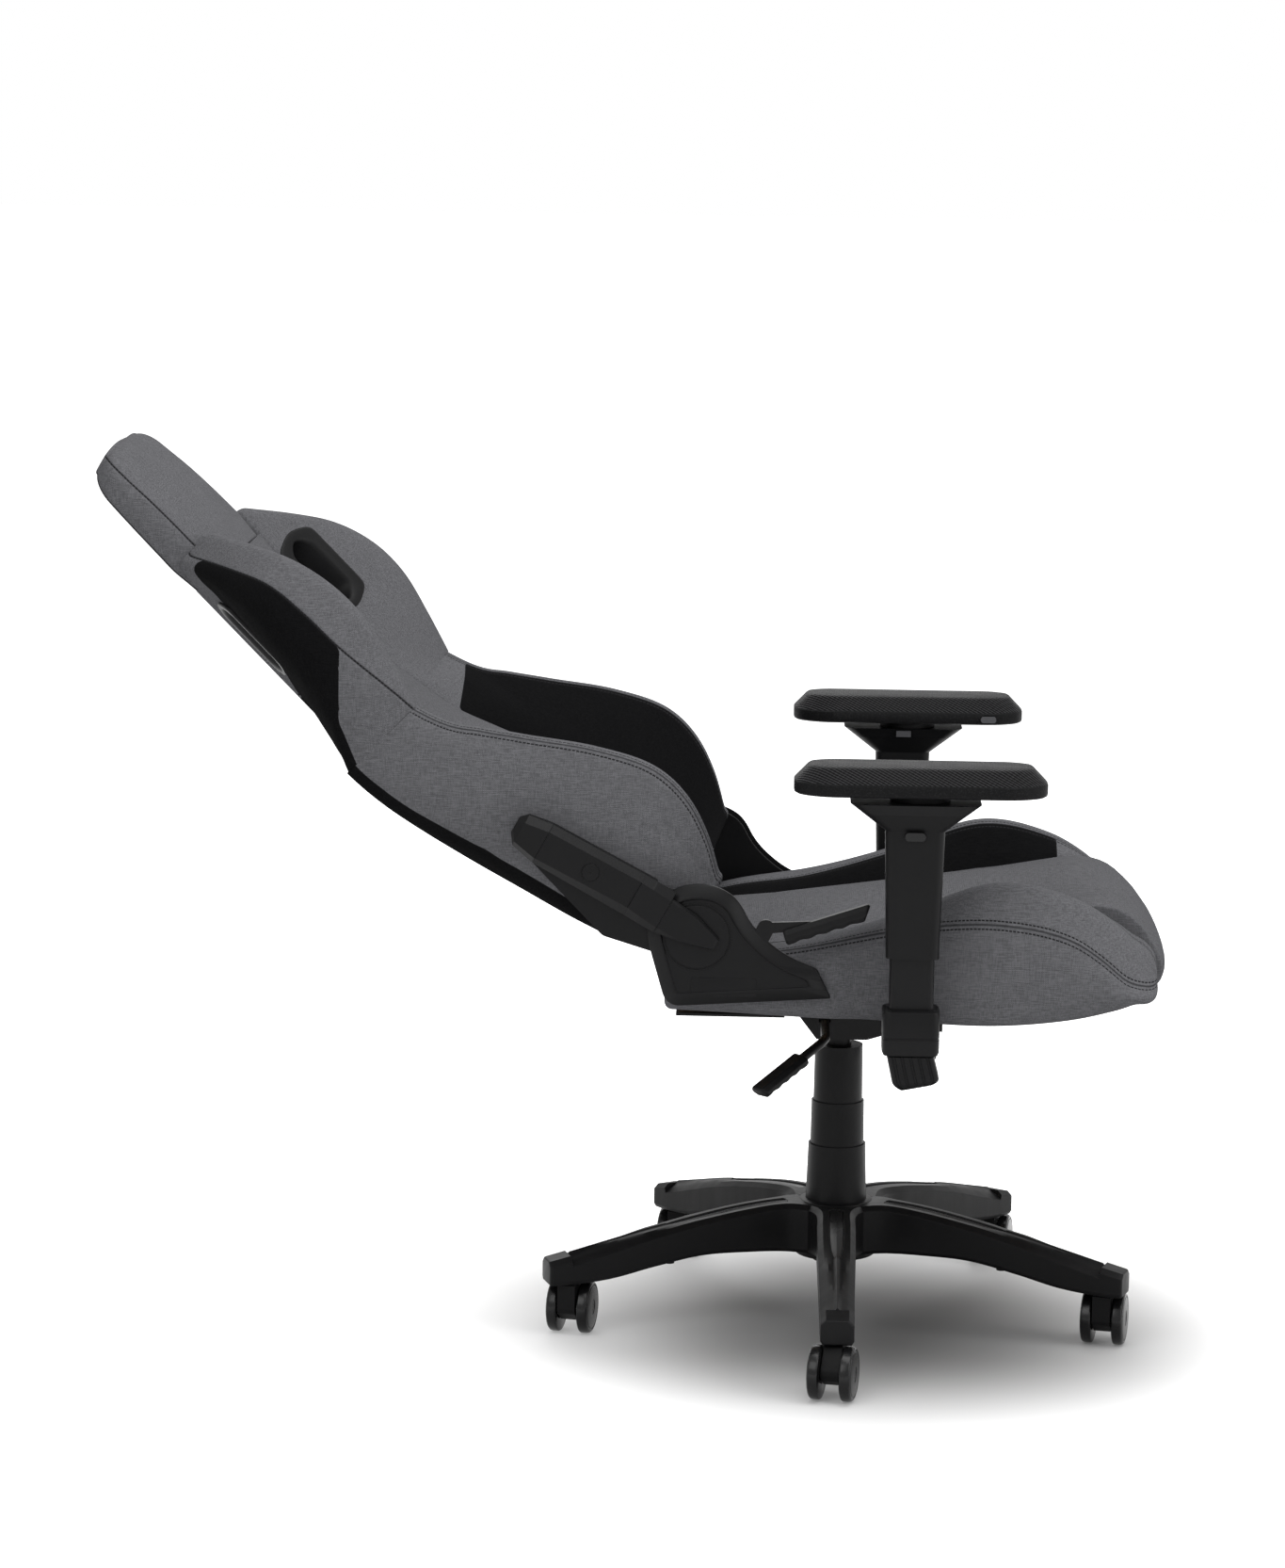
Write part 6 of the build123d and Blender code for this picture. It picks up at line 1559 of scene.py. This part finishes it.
def stage():
    """Camera, white surroundings, floor and four soft lamps."""
    scene = bpy.context.scene
    scene.view_settings.view_transform = "Standard"
    camera()
    world_light()
    floor()
    lamp("Top_Softbox", (0.3, -0.6, 3.6), (-0.1, 0.0, 0.4), 2.6, 84.0)
    lamp("Key_Softbox", (-1.8, -3.0, 2.6), (-0.1, 0.0, 0.5), 2.2, 50.0)
    lamp("Fill_Softbox", (3.0, -1.6, 1.8), (0.0, 0.0, 0.5), 2.2, 62.0)
    lamp("Rim_Softbox", (-0.6, 3.0, 2.6), (-0.2, 0.0, 0.6), 2.4, 40.0)


# Operators


def both_sides(maker, node=None):
    """Make a piece on both sides; the two stand for one node."""
    made = [maker(label, side) for label, side in SIDES]
    if node:
        for obj in made:
            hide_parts(node)


class CHAIR_OT_stage(bpy.types.Operator):
    """Floor, soft lamps and camera"""

    bl_idname = "chair.stage"
    bl_label = "Stage"

    def execute(self, context):
        stage()
        return {"FINISHED"}


class CHAIR_OT_finishes(bpy.types.Operator):
    """Materials of every node"""

    bl_idname = "chair.finishes"
    bl_label = "Finishes"

    def execute(self, context):
        make_materials()
        return {"FINISHED"}


class CHAIR_OT_seat_cushion(bpy.types.Operator):
    """Centre cushion of the seat"""

    bl_idname = "chair.seat_cushion"
    bl_label = "Seat cushion"

    def execute(self, context):
        seat_cushion()
        return {"FINISHED"}


class CHAIR_OT_seat_bolsters(bpy.types.Operator):
    """Raised sides of the seat"""

    bl_idname = "chair.seat_bolsters"
    bl_label = "Seat bolsters"

    def execute(self, context):
        both_sides(seat_bolster, "seat_bolsters")
        return {"FINISHED"}


class CHAIR_OT_lumbar(bpy.types.Operator):
    """Deep sides of the lower back"""

    bl_idname = "chair.lumbar"
    bl_label = "Lumbar bolsters"

    def execute(self, context):
        both_sides(lumbar_bolster, "lumbar_bolsters")
        return {"FINISHED"}


class CHAIR_OT_back_pad(bpy.types.Operator):
    """Centre pad of the back"""

    bl_idname = "chair.back_pad"
    bl_label = "Back pad"

    def execute(self, context):
        back_pad()
        return {"FINISHED"}


class CHAIR_OT_head_pad(bpy.types.Operator):
    """Headrest end of the back"""

    bl_idname = "chair.head_pad"
    bl_label = "Head pad"

    def execute(self, context):
        head_pad()
        return {"FINISHED"}


class CHAIR_OT_wings(bpy.types.Operator):
    """Winged upper sides of the back"""

    bl_idname = "chair.wings"
    bl_label = "Shoulder wings"

    def execute(self, context):
        both_sides(shoulder_wing, "shoulder_wings")
        return {"FINISHED"}


class CHAIR_OT_bezels(bpy.types.Operator):
    """Linings of the strap slots"""

    bl_idname = "chair.bezels"
    bl_label = "Slot bezels"

    def execute(self, context):
        both_sides(slot_bezel, "slot_bezels")
        return {"FINISHED"}


class CHAIR_OT_rear_panel(bpy.types.Operator):
    """Rear of the back"""

    bl_idname = "chair.rear_panel"
    bl_label = "Rear panel"

    def execute(self, context):
        rear_panel()
        return {"FINISHED"}


class CHAIR_OT_hinge_covers(bpy.types.Operator):
    """Rimmed covers over the seat's hinge plates"""

    bl_idname = "chair.hinge_covers"
    bl_label = "Hinge covers"

    def execute(self, context):
        both_sides(hinge_cover, "hinge_covers")
        return {"FINISHED"}


class CHAIR_OT_hinge_plates(bpy.types.Operator):
    """Steel plates and flanges of the hinges"""

    bl_idname = "chair.hinge_plates"
    bl_label = "Hinge plates"

    def execute(self, context):
        both_sides(hinge_plate, "hinge_seat_plates")
        return {"FINISHED"}


class CHAIR_OT_arm_covers(bpy.types.Operator):
    """Faceted covers along the lower back"""

    bl_idname = "chair.arm_covers"
    bl_label = "Hinge arm covers"

    def execute(self, context):
        both_sides(hinge_arm_cover, "hinge_arm_covers")
        return {"FINISHED"}


class CHAIR_OT_recline_grip(bpy.types.Operator):
    """Waved grip of the recline lever"""

    bl_idname = "chair.recline_grip"
    bl_label = "Recline grip"

    def execute(self, context):
        recline_grip()
        return {"FINISHED"}


class CHAIR_OT_lift_grip(bpy.types.Operator):
    """Waved grip of the lift lever"""

    bl_idname = "chair.lift_grip"
    bl_label = "Lift grip"

    def execute(self, context):
        lift_grip()
        return {"FINISHED"}


class CHAIR_OT_arm_pads(bpy.types.Operator):
    """Bevelled pads of the armrests"""

    bl_idname = "chair.arm_pads"
    bl_label = "Armrest pads"

    def execute(self, context):
        arm_pads()
        return {"FINISHED"}


class CHAIR_OT_arm_collars(bpy.types.Operator):
    """Collars and ribbed feet of the armrests"""

    bl_idname = "chair.arm_collars"
    bl_label = "Arm collars"

    def execute(self, context):
        both_sides(arm_collar, "arm_collars")
        return {"FINISHED"}


class CHAIR_OT_star_base(bpy.types.Operator):
    """Hub and five ridged legs"""

    bl_idname = "chair.star_base"
    bl_label = "Star base"

    def execute(self, context):
        star_base()
        return {"FINISHED"}


class CHAIR_OT_castor_wheels(bpy.types.Operator):
    """Twin wheels of the castors"""

    bl_idname = "chair.castor_wheels"
    bl_label = "Castor wheels"

    def execute(self, context):
        castor_wheels()
        return {"FINISHED"}


OPERATORS = [
    CHAIR_OT_stage, CHAIR_OT_finishes, CHAIR_OT_seat_cushion, CHAIR_OT_seat_bolsters,
    CHAIR_OT_lumbar, CHAIR_OT_back_pad, CHAIR_OT_head_pad, CHAIR_OT_wings,
    CHAIR_OT_bezels, CHAIR_OT_rear_panel, CHAIR_OT_hinge_covers, CHAIR_OT_hinge_plates,
    CHAIR_OT_arm_covers, CHAIR_OT_recline_grip, CHAIR_OT_lift_grip, CHAIR_OT_arm_pads,
    CHAIR_OT_arm_collars, CHAIR_OT_star_base, CHAIR_OT_castor_wheels,
]


class CHAIR_PT_panel(bpy.types.Panel):
    """Lists the chair's pieces and settings."""

    bl_label = "Gaming Chair"
    bl_idname = "CHAIR_PT_panel"
    bl_space_type = "VIEW_3D"
    bl_region_type = "UI"
    bl_category = "Chair"

    def draw(self, context):
        """One button for each piece, then the settings."""
        layout = self.layout
        for made in OPERATORS:
            layout.operator(made.bl_idname)
        for group in (context.scene.chair_sizes, context.scene.chair_colours):
            for name in group.__annotations__:
                layout.prop(group, name)


CLASSES = [ChairSizes, ChairColours, *OPERATORS, CHAIR_PT_panel]


def register():
    """Make the classes and settings known."""
    for made in CLASSES:
        bpy.utils.register_class(made)
    bpy.types.Scene.chair_sizes = bpy.props.PointerProperty(type=ChairSizes)
    bpy.types.Scene.chair_colours = bpy.props.PointerProperty(type=ChairColours)


def unregister():
    """Take the classes and settings away again."""
    del bpy.types.Scene.chair_colours
    del bpy.types.Scene.chair_sizes
    for made in reversed(CLASSES):
        bpy.utils.unregister_class(made)


def main():
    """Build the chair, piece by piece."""
    register()
    for made in OPERATORS:
        group, name = made.bl_idname.split(".")
        getattr(getattr(bpy.ops, group), name)()


if __name__ == "__main__":
    main()
